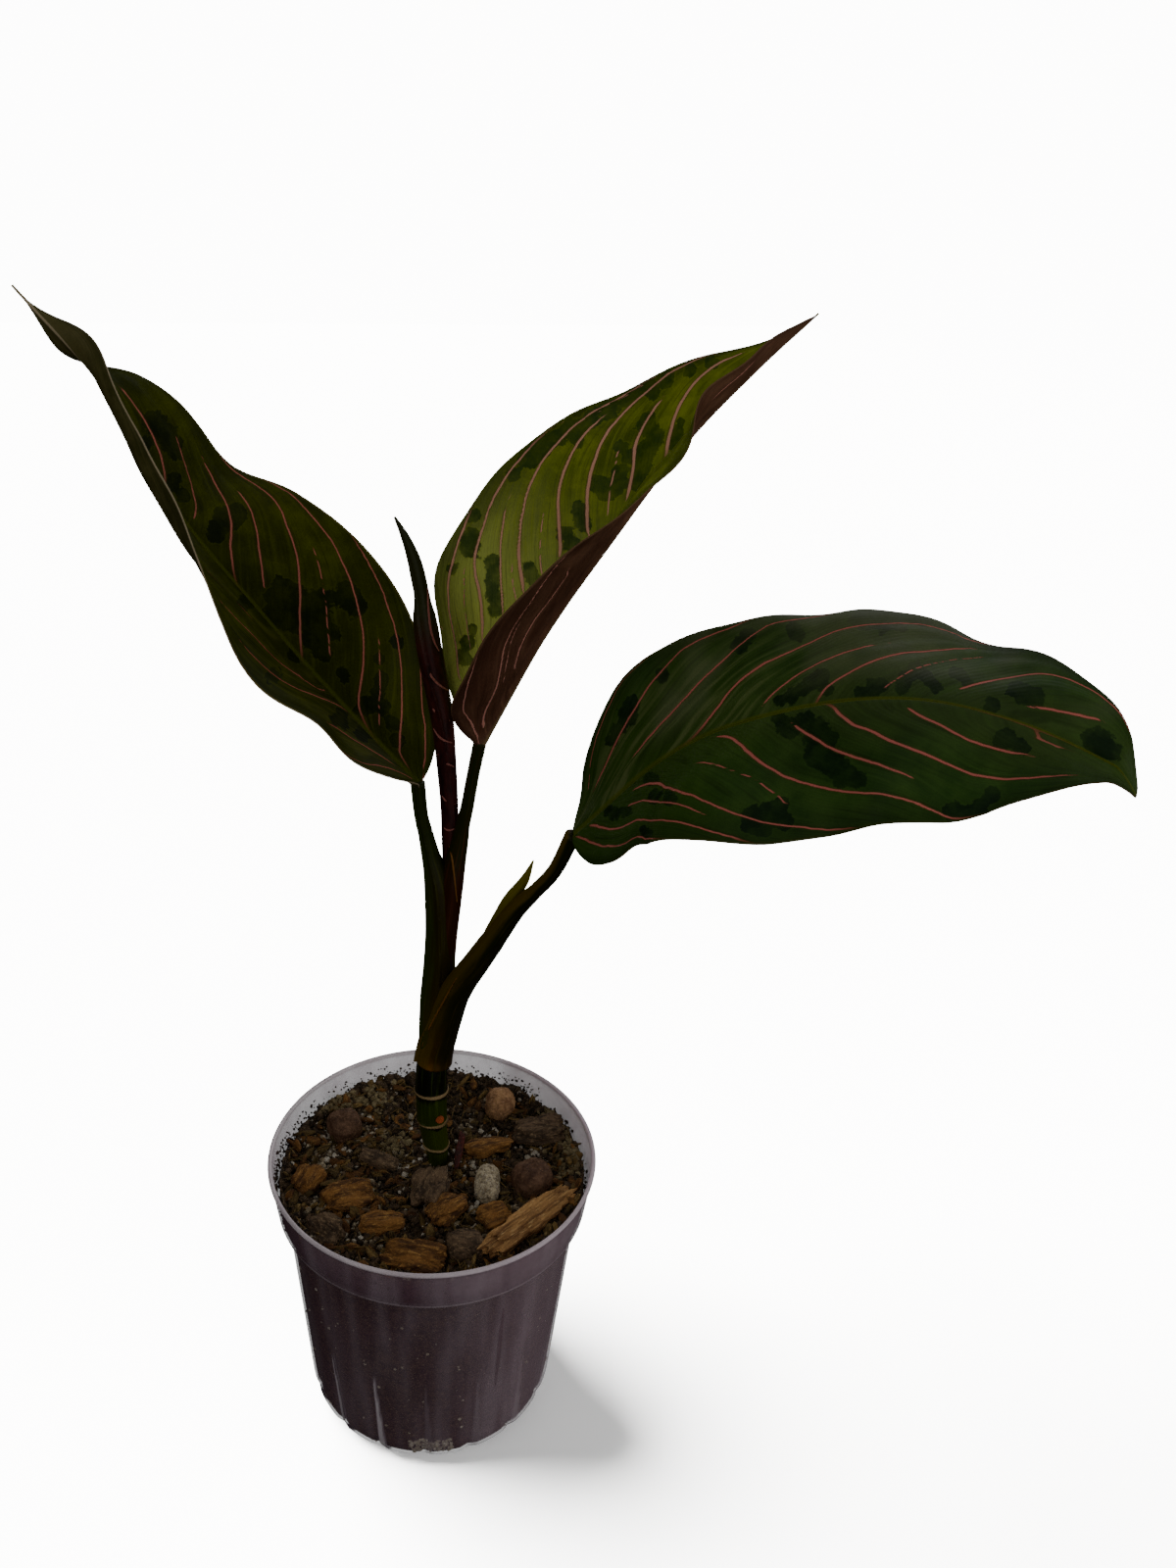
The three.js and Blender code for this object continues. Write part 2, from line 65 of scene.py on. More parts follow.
# Open blades, as in the solids: midrib points from base to tip, the way the upper face looks, half
# width, the powers of the outline, and for each half its lift and curl in degrees at equal steps.
# Swells are local changes of its width: share of the length, spread and mm. A hook is how far the tip's
# last point drops, in mm. A half's veins bend towards the tip by reach times -log(1 - bend v), where v is
# the share of the half width. Veins and blotches are read off the photograph, in its 1200 by 1600
# frame, and the camera carries them onto the blade. A vein is its strength (under 0.65 it is thin and
# broken into dashes), then x,y from the midrib outwards. A dark blotch is x,y,radius.
BLADES = {
    "left": {
        "midrib": [(-5, 2.2, 234.2), (-29, 8, 257), (-52, 14, 281), (-73, 20, 305), (-91, 26, 335),
        (-114, 30, 359)], "face": (0.45, -0.75, 0.5), "half": 35, "base": 0.6, "point": 1.3, "seed": 3,
        "left": {
            "lift": [70, 57, 58, 52, 57, 67, 74, 78, 86, 140, 170],
            "curl": [20, 20, 10, 0, 10, 50, 65, 90, 90, 30, 20],
            "swell": [(0.94, 0.05, -1.3)], "reach": 0.21, "bend": 0.85,
            "veins": """
                0.7 419,795 400,786 380,780 362,774 345,763; 0.7 400,780 385,770 370,762 352,750 335,741;
                0.75 375,735 355,727 340,718 320,710 300,700 280,688 262,674 248,658; 0.66 325,698
                300,685 285,675 270,660 258,648 240,632 222,611; 0.5 262,640 245,620 228,602 215,588""",
            "blotches": """
                278,690,9 345,735,10 370,748,10 300,668,8 250,615,9 120,440,8""",
        },
        "right": {
            "lift": [-8, -18, -3, 4, 7, -3, -20, -20, -30, -112, -165],
            "curl": [0, 10, 20, 20, 20, 10, 10, 0, 0, 0, 0],
            "swell": [(0.72, 0.06, 1.8), (0.53, 0.05, 1.0), (0.94, 0.05, -1.3)], "reach": 0.19,
            "bend": 0.87,
            "veins": """
                0.8 431,790 431,740 433,715 431,690 427,662 420,632; 1 414,780 409,755 407,735 408,700
                408,670 405,645 400,620 390,598 375,577 360,558; 0.5 387,740 385,715 387,690 388,655; 1
                371,735 367,715 368,690 369,660 367,630 361,600 350,575 335,548 317,522 300,508 285,500;
                0.5 335,665 334,640 331,610 327,585 322,562; 1 307,665 306,640 306,610 304,590 302,570
                299,550 291,530 278,510 262,498 240,482; 0.7 268,598 268,580 265,555 260,538 252,520
                246,506; 0.9 240,590 238,570 236,550 233,527 226,505 217,485 206,465; 0.66 198,530
                197,510 193,485 187,465 178,445; 0.85 168,495 165,475 162,460 156,443 147,425 132,406
                116,391""",
            "blotches": """
                288,603,15 292,628,17 286,616,15 303,606,10 324,612,13 322,632,16 320,652,15 328,668,10
                337,645,10 352,606,14 362,622,11 386,672,7 388,692,8 385,708,9 391,722,8 403,738,9
                406,755,8 404,655,8 230,530,13 221,545,11 242,526,10 166,440,14 176,457,12 154,430,10
                142,456,10 175,492,10 186,507,8 370,722,10 350,690,8""",
        },
    },
    "middle": {
        "midrib": [(12, 0, 250), (27, 6, 280), (44, 11, 307), (62, 17, 333), (78, 21, 351), (93, 24,
        366)], "face": (-0.5, -0.75, 0.4), "half": 37, "base": 0.6, "point": 1.3, "seed": 5,
        "left": {
            "lift": [0, 3, 14, 11, 9, 3, -12, -17, -27, -40, -36],
            "curl": [0, 0, 0, 10, 10, 10, 0, 0, 0, 0, 0],
            "swell": [(0.17, 0.06, 1.6), (0.38, 0.1, 0.8), (0.55, 0.04, 0.5)], "reach": 0.165,
            "bend": 0.93,
            "veins": """
                0.66 452,660 446,635 444,612 447,592 452,575; 1 469,690 466,675 462,650 459,625 458,605
                460,580 464,560 470,545 476,530 483,518; 0.5 480,660 478,640 476,620 474,600 475,580; 1
                495,648 492,630 488,605 487,580 489,560 492,540 498,520 507,500 520,480 535,462 548,450
                558,443; 0.7 515,622 512,600 511,580 510,560 512,545 514,525 520,508; 0.4 527,612 524,595
                523,575; 1 535,605 532,590 530,570 530,545 532,520 540,498 552,476 563,460 575,445
                585,433 600,424 615,414 640,401; 0.55 553,585 552,570 551,558 553,545 554,527; 1 572,568
                571,545 570,520 573,500 578,475 586,458 600,438 612,427; 1 603,545 601,525 600,500
                603,480 608,462 618,445 630,427 645,410 660,395 678,385 697,376; 0.55 620,525 622,505
                624,485 628,470 633,455; 0.9 640,510 643,495 646,475 650,455 655,435 662,420 672,409
                682,402; 1 680,470 681,455 685,440 690,425 700,402 718,382 740,367 762,360""",
            "blotches": """
                504,575,9 503,592,9 505,608,9 508,622,8 478,656,8 474,671,8 484,641,5 484,526,8
                480,560,10 483,546,7 540,580,8 546,591,7 577,545,9 585,556,9 592,520,8 597,536,8
                609,492,9 618,501,11 631,494,9 632,480,8 632,455,8 640,466,6 655,436,8 662,425,8
                668,441,10 659,460,12 656,478,12 650,495,9 692,440,7 690,453,8 695,430,5 586,440,9
                590,451,6 545,470,8 540,462,8 556,455,8 665,399,8 524,484,8 538,468,9 553,456,10
                568,447,10 585,438,10 603,427,10 622,416,10 641,404,10 660,394,9 681,386,9 705,378,8
                727,372,7 474,548,7 462,580,6""",
        },
        "right": {
            "lift": [102, 84, 79, 75, 68, 61, 59, 75, 79, 88, 90],
            "curl": [40, 40, 30, 20, 10, -20, -20, 20, 30, 20, 10],
            "swell": [(0.05, 0.04, 1.2)], "reach": 0.165, "bend": 0.87,
            "veins": """
                0.75 487,752 481,735 477,720 476,700 480,685 487,665 500,645; 1 497,735 498,715 500,690
                503,670 510,650 520,630 532,615 550,600 570,583 590,567 612,547 634,524; 0.5 513,690
                518,670 525,650 533,635; 0.9 525,680 532,660 540,640 550,620 562,602 578,583 600,562
                622,540; 0.8 722,415 738,395 755,377 772,364""",
            "blotches": """
                500,700,8 540,630,8 600,556,7""",
        },
    },
    "right": {
        "midrib": [(39, -28, 239), (63, -40, 272), (87, -52, 291), (112, -64, 302), (136, -75, 303),
        (160, -86, 297)], "face": (0.1, -0.5, 0.8), "half": 36, "base": 0.55, "point": 0.8, "seed": 8,
        "hook": 4.5,
        "left": {
            "lift": [-25, -6, -4, -9, -16, -16, -21, -20, -6, 0, 1],
            "curl": [20, 20, 0, -20, -20, -20, -20, -20, -20, -20, -20],
            "swell": [(0.03, 0.025, 1.5), (0.57, 0.06, 2.0), (0.92, 0.06, 3.0)], "reach": 0.17,
            "bend": 0.87,
            "veins": """
                0.5 606,790 608,760 612,735 625,710 640,693 655,678 675,667; 1 602,812 615,790 625,770
                633,750 650,720 665,700 680,680 700,663 720,650 742,641 765,636; 0.85 655,765 675,740
                700,712 715,697 730,680 750,663 770,648 783,640; 1 690,768 722,735 745,711 755,700
                770,682 785,668 800,660 825,654 850,648 880,642 910,640 940,641 965,644; 0.7 779,719
                800,700 812,690 830,680 850,672 880,662 905,657; 0.85 840,712 850,700 862,689 880,681
                900,674 930,667 960,662 990,662; 0.5 905,702 920,690 940,680 970,673 1000,670; 1 982,705
                1000,696 1025,690 1050,689 1080,692 1102,697; 0.85 1050,722 1070,727 1090,730 1110,731
                1124,736""",
            "blotches": """
                830,696,9 839,690,8 820,703,8 845,705,6 809,711,8 795,716,6 890,705,9 878,708,7 901,700,7
                925,693,9 936,685,9 920,702,7 946,691,7 955,702,7 975,689,8 986,696,7 1045,711,12
                1034,705,9 1056,715,9 641,730,10 633,743,8 646,718,8 625,756,7 900,632,14 921,633,12
                880,632,12 941,635,8 755,658,9 765,650,8 812,646,9 675,689,8 1120,758,14 1135,768,10
                1012,722,8""",
        },
        "right": {
            "lift": [20, 29, 26, 14, 2, -4, -6, -14, -16, 7, 27],
            "curl": [-10, -10, -10, -20, -20, -20, -20, -20, -20, -10, 0],
            "swell": [(0.15, 0.03, -2.2), (0.37, 0.08, 0.6), (0.75, 0.06, 1.2)], "reach": 0.21,
            "bend": 0.85,
            "veins": """
                0.8 590,853 610,858 622,862 634,864; 0.9 607,838 640,839 680,843 720,850 750,856 780,858;
                0.7 642,820 680,823 705,826 722,830; 1 650,805 680,806 705,812 730,822 750,830 780,840
                810,845 840,845 870,843; 0.55 715,780 730,782 750,788 770,796 790,808 800,818; 1 733,752
                750,760 775,772 800,787 820,800 850,811 880,818 900,821 940,821 980,818; 0.85 808,740
                830,753 850,763 880,775 910,788 935,795; 1 845,720 870,735 900,752 930,768 960,782
                985,790 1020,794 1060,794 1095,790; 0.8 925,722 950,735 970,747 1000,758 1030,768
                1055,772; 1 980,717 1000,732 1020,743 1050,752 1080,763 1110,772 1130,779""",
            "blotches": """
                805,742,11 821,738,11 836,746,13 848,757,10 834,770,13 848,780,12 861,791,12 876,797,10
                795,732,8 768,838,13 790,831,12 801,839,10 798,821,8 780,848,8 1030,752,10 1020,757,8
                1041,761,9 970,828,10 985,832,12 1000,826,10 1012,812,9 668,813,8 685,816,8 665,795,7
                625,830,8 640,828,6 658,848,6""",
        },
    },
}
# The vein numbers of a blade's right half start from this one, and those of its left half from 0.
SECOND_HALF = 20
BLADE = {"thick": 0.5, "rib": 1.6, "rib_width": 1.5, "along": 260, "across": 64, "foot": 1.3, "tip": 0.3}

# Round stems, as in the solids: [x, y, z, radius] from the bottom up.
CANE = [
    (1.4, 7, 78, 3.2), (0.7, 7, 92, 3.4), (0.2, 7, 96.2, 3.6), (0.1, 7, 97.2, 4.4), (0, 7, 98.2, 4.1),
    (-1.2, 7, 106.6, 4.4), (-1.3, 7, 107.8, 5.1), (-1.3, 7, 109, 4.8), (-1.6, 7, 118.8, 5),
    (-1.6, 7, 120.2, 5.6), (-1.6, 7, 121.6, 5.2), (-1.4, 7, 129, 5), (-1, 7, 136, 4.5),
]
SCAR_HEIGHTS = (97.2, 107.9, 120.3)
# The bud's place, and its stations along its lean: mm from the place, and radius.
BUD_AT = (1.6, 3.1, 111)
BUD = [(-1, 0.5), (-0.5, 1.1), (0, 1.4), (0.6, 1.2), (1.2, 0.8), (1.8, 0.3)]
PETIOLE_RIGHT = [
    (-0.9, 7, 131.8, 5.9), (-0.4, 7, 136, 5.8), (1, 6.5, 143, 5.7), (3, 5, 151.6, 5.4),
    (5.6, 2.6, 161, 4.8), (8.8, -0.5, 169.4, 4.3), (12.6, -4.5, 178.4, 4), (17, -9, 189, 3.7),
    (24.2, -16, 205.9, 2.8),
    (30.4, -21, 216.9, 2.1), (35.2, -25, 226.5, 2), (39.2, -28.1, 239.3, 2.1),
]
SHEATH_TIP = [(17.5, -9, 193, 2.4), (22.4, -13.6, 207.5, 2.1), (26.4, -16.4, 216.5, 1.4),
              (28.8, -18, 224.2, 0.25)]
PETIOLE_LEFT = [
    (-0.8, 7, 136.4, 4.7), (-0.6, 7, 145, 4.9), (0, 6.8, 157, 5.1), (0.5, 6.5, 163, 5.1),
    (0.9, 6.2, 172, 4.8), (1.1, 6, 181.5, 4.6), (0.9, 5.6, 192, 4.5), (0.3, 5.2, 199, 4.1),
    (-0.7, 4.8, 205, 3.4), (-1.9, 4.4, 210, 2.7), (-3.2, 3.8, 217, 2.2), (-4.5, 3, 224, 2),
    (-5.4, 2.2, 234.8, 2.1),
]
PETIOLE_MIDDLE = [
    (0.3, 7, 141, 3), (0.9, 6.8, 150, 3.3), (1.6, 6.6, 160, 3.5), (2.2, 6.2, 172, 3.5),
    (2.8, 5.8, 182, 3.5), (3.6, 5.4, 192, 3.6), (4.4, 5, 200, 3.5), (5.2, 4.8, 207, 3.2),
    (6.4, 4.2, 214, 2.6),
    (7.4, 3.3, 221, 2.1), (8.8, 2.1, 229, 1.9), (10.2, 1.2, 239, 1.8), (12.1, 0, 250.6, 1.9),
]
ROLLED_LEAF = [
    (3.6, 6.6, 202, 2), (3.5, 7, 213, 2.5), (3.2, 7, 225, 2.6), (2.4, 7, 237, 2.8), (1.2, 7, 251, 3.1),
    (0, 7, 259, 3.3), (-1.3, 7, 266, 3.4), (-2.7, 7, 274, 3.4), (-3.6, 7, 280, 3.3), (-4.2, 7, 284, 3),
    (-4.6, 7, 287.4, 2.3), (-5.1, 7, 291, 2), (-6.1, 7, 296, 2), (-7.3, 7, 300.6, 1.7),
    (-9.4, 7, 306, 1.1), (-12.1, 7, 311.2, 0.3),
]

# The pot and its foot grooves, as in the solids.
POT = {"height": 100, "rim": 52.5, "ledge": 50, "ledge_z": 84, "shoulder": 47.2, "shoulder_z": 82,
       "corner": 41.1, "corner_z": 11, "base": 33, "wall": 0.8, "sectors": 384}
GROOVE = {"count": 16, "depth": 1.0, "top": 50, "width": 9, "first": -132}
DRAIN = {"count": 8, "ring": 24, "radius": 3.2}
# The mix: its level, the bank at the wall and where that starts, how far out its grains lie, and its
# grid: the height where the wall's part ends, the top's radius, and how many sectors and rings.
SOIL = {"level": 90, "bank": 3, "bank_start": 38, "reach": 47.5, "side_top": 84, "top_reach": 49.0,
        "sectors": 320, "rings": 100}

# A dark red root that lies against the wall's inside, [x, y, z, radius] from the bottom up.
WALL_ROOT = [(23.9, -33.5, 28, 0.4), (24.2, -34.1, 36, 0.8), (24.9, -35, 48, 0.95), (25.4, -35.9, 60, 0.9),
             (25.9, -36.4, 70, 0.8), (26.2, -36.9, 78, 0.4)]

# Pieces in the mix's top: at, size (length, width, thickness), turn about Z and tilt about the length.
CHIPS = {
    "bark_chip_long": ("slab", (32.3, -20.6, 93), (40, 9, 5), 50, 16, "wood"),
    "clay_pebble_left": ("ball", (-31.7, 17.9, 92), (12, 12, 11), 20, 0, "clay_dark"),
    "clay_pebble_back": ("ball", (19, 33, 92.5), (10.5, 12, 11), 5, 10, "clay"),
    "clay_pebble_right": ("ball", (32.3, -1, 91.5), (13.5, 14, 12), 30, 0, "clay_dark"),
    "flat_stone": ("slab", (33.5, 21.5, 92.5), (17, 11, 7), 8, -14, "dark_bark"),
    "pumice_stone": ("ball", (18, -4.5, 91.5), (8.5, 15, 9), 0, 6, "pumice"),
    "husk_chip_right": ("slab", (21.4, -18.6, 92), (10, 9.5, 6), 35, 20, "bark"),
    "husk_chip_front": ("slab", (6.6, -17.4, 92.5), (13.5, 10, 6), 48, -18, "bark"),
    "bark_piece_dark": ("ball", (13.6, -31.6, 91.5), (13, 11, 10), 10, 0, "dark_bark"),
    "bark_piece_front": ("slab", (-2, -37.4, 91.5), (19, 12, 6), -8, 22, "bark"),
    "bark_piece_blunt": ("slab", (-0.2, -7.6, 92), (17, 11, 9), 82, 6, "dark_bark"),
    "bark_piece_amber": ("slab", (-25.4, -13.6, 91.5), (16, 11, 6), 24, 14, "bark"),
    "bark_piece_red": ("slab", (-39.4, -7.6, 92), (11, 9, 7), 70, -8, "bark"),
    "bark_piece_left": ("slab", (-30, -28.4, 91.5), (13, 10, 6), -42, 12, "dark_bark"),
    "husk_chip_left": ("slab", (-14, -24, 91.5), (13, 9, 6), 15, -12, "bark"),
    "wood_sliver": ("slab", (16, 12.4, 92), (17, 6.5, 5), 18, -10, "bark"),
    "twig_piece": ("slab", (-18, 3.4, 91.5), (15, 5, 5), -16, 10, "dark_bark"),
    "dry_fibre": ("slab", (7.6, 8.6, 93), (17, 2.4, 2.6), 88, 0, "fibre"),
}


# Kinds of node by the name used below: the node's type, the inputs that a call's values go to, the
# output that it gives, and its fixed settings. A ramp is a smooth step of its first value from the
# second to the third, written as the fourth to the fifth. Noise takes a place and patches per mm. A
# field is a number stored at each point, around the turn about a stem, and own a piece's own place.
NODES = {
    "ramp": ("MapRange", range(5), 0, {"interpolation_type": "SMOOTHSTEP"}),
    "mix": ("Mix", (0, 6, 7), 2, {"data_type": "RGBA"}),
    "noise": ("TexNoise", (0, 2, 3, 4), 0, {"Detail": 4.0, "Roughness": 0.55}),
    "field": ("Attribute", (), "Fac", {}),
    "around": ("Attribute", (), "Vector", {"attribute_name": "around"}),
    "own": ("Attribute", (), "Vector", {"attribute_name": "own"}),
}
# Index of refraction of leaf wax, and the finish of smooth stem skin.
LEAF_IOR = 1.38
SKIN = {"Roughness": 0.4, "IOR": LEAF_IOR, "Specular IOR Level": 0.22}


def linear(colour):
    """Linear RGBA of an sRGB hex colour such as "#8d7f88"."""
    parts = [int(colour[i:i + 2], 16) / 255 for i in (1, 3, 5)]
    return [c / 12.92 if c <= 0.04045 else ((c + 0.055) / 1.055) ** 2.4 for c in parts] + [1.0]


def add_node(tree, kind, *values, out=0, **settings):
    """Adds a node and returns one of its outputs. The kind is a key of NODES, a shader node's type, or a
    Math operation in capitals. Values go to its inputs in order, and settings to the inputs or the
    properties that they name. For an input, each is a number, a hex colour or another node's output."""
    if kind in NODES:
        kind, inputs, out, fixed = NODES[kind]
    elif kind.isupper():
        kind, inputs, fixed = "Math", (0, 1), {"operation": kind}
    else:
        inputs, fixed = range(len(values)), {}
    node = tree.nodes.new("ShaderNode" + kind)
    for key, value in {**fixed, **settings, **dict(zip(inputs, values))}.items():
        if not isinstance(key, int) and key not in node.inputs:
            setattr(node, key, value)
        elif isinstance(value, bpy.types.NodeSocket):
            tree.links.new(value, node.inputs[key])
        else:
            node.inputs[key].default_value = linear(value) if isinstance(value, str) else value
    return node.outputs[out] if node.outputs else node


def new_material(name):
    """An empty material, the add_node of its tree, and its Object coordinates in millimetres."""
    material = bpy.data.materials.new(name)
    material.use_nodes = True
    material.node_tree.nodes.clear()
    add = partial(add_node, material.node_tree)
    return material, add, add("VectorMath", add("TexCoord", out="Object"), operation="SCALE", Scale=1 / MM)


def finish_material(material, add, settings, relief, depth):
    """Closes a material with a Principled shader of these settings and a bump of depth in mm."""
    normal = add("Bump", Height=relief, Distance=depth * MM, Strength=1.0)
    add("OutputMaterial", add("BsdfPrincipled", Normal=normal, **settings))
    return material


def swing(add, noise, reach):
    """Noise about zero: up to half of reach to either side."""
    return add("MULTIPLY", add("SUBTRACT", noise, 0.5), reach)


def put_mesh(name, points, faces, materials, face_materials=None, uv=None, values=None):
    """Object at the origin from points in millimetres. values are numbers, or rows of three, for each
    point by name."""
    mesh = bpy.data.meshes.new(name)
    faces = faces if isinstance(faces, list) else faces.tolist()
    mesh.from_pydata((np.asarray(points) * MM).tolist(), [], faces)
    mesh.polygons.foreach_set("use_smooth", np.ones(len(mesh.polygons), bool))
    if face_materials is not None:
        mesh.polygons.foreach_set("material_index", np.asarray(face_materials, np.int32))
    corners = np.empty(len(mesh.loops), np.int32)
    mesh.loops.foreach_get("vertex_index", corners)
    if uv is not None:
        layer = mesh.uv_layers.new(name="veins")
        layer.data.foreach_set("uv", np.asarray(uv, np.float32)[corners].ravel())
    for key, numbers in (values or {}).items():
        numbers = np.asarray(numbers, np.float32)
        kind, field = ("FLOAT", "value") if numbers.ndim == 1 else ("FLOAT_VECTOR", "vector")
        mesh.attributes.new(key, kind, "POINT").data.foreach_set(field, numbers.ravel())
    for material in materials:
        mesh.materials.append(material)
    mesh.update()
    piece = bpy.data.objects.new(name, mesh)
    bpy.context.scene.collection.objects.link(piece)
    return piece


def unit(vectors):
    return vectors / np.linalg.norm(vectors, axis=-1, keepdims=True)


def along(keys, t):
    """Smooth curve through equally spaced keys (numbers or rows), at every t from 0 to 1."""
    keys = np.asarray(keys, float)
    rows = keys if keys.ndim > 1 else keys[:, None]
    last = len(rows) - 1
    padded = np.vstack([2 * rows[0] - rows[1], rows, 2 * rows[-1] - rows[-2]])
    place = np.clip(t, 0, 1) * last
    i = np.minimum(place.astype(int), last - 1)
    w = (place - i)[:, None]
    a, b, c, d = (padded[i + k] for k in range(4))
    curve = 2 * b + (c - a) * w + (2 * a - 5 * b + 4 * c - d) * w ** 2 + (3 * b - a - 3 * c + d) * w ** 3
    return 0.5 * curve if keys.ndim > 1 else 0.5 * curve[:, 0]


def ripples(points, length, seed, waves=16):
    """Even random field, about -1 to 1: a sum of plane waves of about this length in millimetres."""
    rng = np.random.default_rng(seed)
    ways = unit(rng.normal(size=(waves, 3))) * (2 * np.pi / (length * rng.uniform(0.7, 1.5, (waves, 1))))
    phases = rng.uniform(0, 2 * np.pi, waves)
    return np.sin(points @ ways.T + phases).sum(-1) / math.sqrt(waves)


def ring_faces(rings, count, closed=True):
    """Squares between rings of count points each, numbered ring by ring."""
    i = np.arange(rings - 1)[:, None] * count
    j = np.arange(count if closed else count - 1)[None, :]
    k = (j + 1) % count
    return np.stack([i + j, i + k, i + count + k, i + count + j], -1).reshape(-1, 4)


def capped(grid):
    """Points and faces of a closed skin over rings: each end is drawn in to its own middle point."""
    rings, count = grid.shape[:2]
    points = np.vstack([grid.reshape(-1, 3), grid[0].mean(0), grid[-1].mean(0)])
    j = np.arange(count)
    k = (j + 1) % count
    low, high = rings * count, rings * count + 1
    start = np.stack([k, j, np.full(count, low)], -1)
    end = np.stack([j + low - count, k + low - count, np.full(count, high)], -1)
    return points, ring_faces(rings, count).tolist() + start.tolist() + end.tolist()


def stem_grid(stations, rings=160, sides=72, section=None):
    """Rings round a smooth curve through stations (x, y, z, radius). section(t, turn) multiplies the
    radius, and turn runs from +X by +Y, so that -90 degrees faces the viewer."""
    stations = np.array(stations, float)
    spans = np.linalg.norm(np.diff(stations[:, :3], axis=0), axis=1)
    steps = np.concatenate([[0], np.cumsum(spans)]) / spans.sum()
    t = np.linspace(0, 1, rings)
    key = np.interp(t, steps, np.linspace(0, 1, len(stations)))
    centre = along(stations[:, :3], key)
    radius = np.interp(t, steps, stations[:, 3])
    forward = unit(np.gradient(centre, axis=0))
    across = unit(np.cross(np.array([0, 1.0, 0]), forward))
    up = np.cross(forward, across)
    turn = np.linspace(-np.pi, np.pi, sides, endpoint=False)
    reach = radius[:, None] * (section(t[:, None], turn[None, :]) if section else np.ones((rings, sides)))
    grid = (centre[:, None] + reach[..., None] * (np.cos(turn)[None, :, None] * across[:, None]
            + np.sin(turn)[None, :, None] * up[:, None]))
    return grid, t, turn


def make_stem(name, stations, material, rings=160, sides=72, section=None):
    """Round stem with a closed skin. The field around is (cosine, sine of the turn, share of length)."""
    grid, t, turn = stem_grid(stations, rings, sides, section)
    points, faces = capped(grid)
    around = np.stack([np.tile(np.cos(turn), rings), np.tile(np.sin(turn), rings), np.repeat(t, sides)],
                      -1)
    around = np.vstack([around, (0, 0, 0), (0, 0, 1)])
    return put_mesh(name, points, faces, [material], values={"around": around})


def wrap(start, end, lip):
    """Section of a sheath that wraps itself: the radius grows by lip round the turn and drops back at a
    seam, which runs from the start angle to the end angle (degrees) along the length."""
    def section(t, turn):
        seam = np.radians(start + (end - start) * t)
        share = np.mod(turn - seam, 2 * np.pi) / (2 * np.pi)
        return 1 + lip * (share - 0.5) + 0.35 * lip * np.exp(-((1 - share) / 0.03) ** 2)
    return section


def make_trail(name, grid, spots, radius, material, lift=0.15):
    """Thin raised line on a grid: it goes through the points that lie under these spots of the frame."""
    points = grid.reshape(-1, 3)[carried(grid, spots)]
    middle = grid.mean(1)
    middle = middle[np.linalg.norm(points[:, None] - middle[None], axis=-1).argmin(1)]
    points = points + unit(points - middle) * lift
    taper = np.sin(np.linspace(0.12, 0.9, len(spots)) * np.pi) * radius + 0.06
    return make_stem(name, np.column_stack([points, taper]), material, 60, 10)


def camera_axes():
    """The camera's right, up and forward: level, tipped down by the fall, then rolled about its view."""
    fall, roll = math.radians(CAMERA["fall"]), math.radians(CAMERA["roll"])
    forward = np.array([0, math.cos(fall), -math.sin(fall)])
    level_up = np.array([0, math.sin(fall), math.cos(fall)])
    right = math.cos(roll) * np.array([1.0, 0, 0]) + math.sin(roll) * level_up
    return right, np.cross(right, forward), forward


def framed(points):
    """Where points (mm) fall in the 1200 by 1600 frame, and how far off they are."""
    right, up, forward = camera_axes()
    away = points - np.array(CAMERA["at"])
    depth = away @ forward
    x, y = FRAME_HIGH * (away @ right) / depth, FRAME_HIGH * (away @ up) / depth
    return np.stack([FRAME_WIDE / 2 + x, FRAME_HIGH / 2 - y], -1), depth


def carried(grid, spots):
    """Numbers of the grid's points that lie nearest to these spots of the frame, nearer ones first."""
    seen, depth = framed(grid.reshape(-1, 3))
    miss = np.linalg.norm(seen[None] - np.array(spots, float)[:, None], axis=-1)
    return (miss + 0.05 * (depth - depth.min())).argmin(1)


def half_width(blade, half, t):
    """Half width in mm at t: a power curve that peaks at the blade's half, never under its foot or tip,
    plus the half's swells, each a bell of its own height and spread."""
    peak = blade["base"] / (blade["base"] + blade["point"])
    shape = t ** blade["base"] * (1 - t) ** blade["point"]
    floor = BLADE["foot"] + (BLADE["tip"] - BLADE["foot"]) * t
    width = blade["half"] * shape / (peak ** blade["base"] * (1 - peak) ** blade["point"])
    for at, spread, height in half["swell"]:
        width = width + height * np.exp(-((t - at) / spread) ** 2)
    return np.maximum(floor, width)


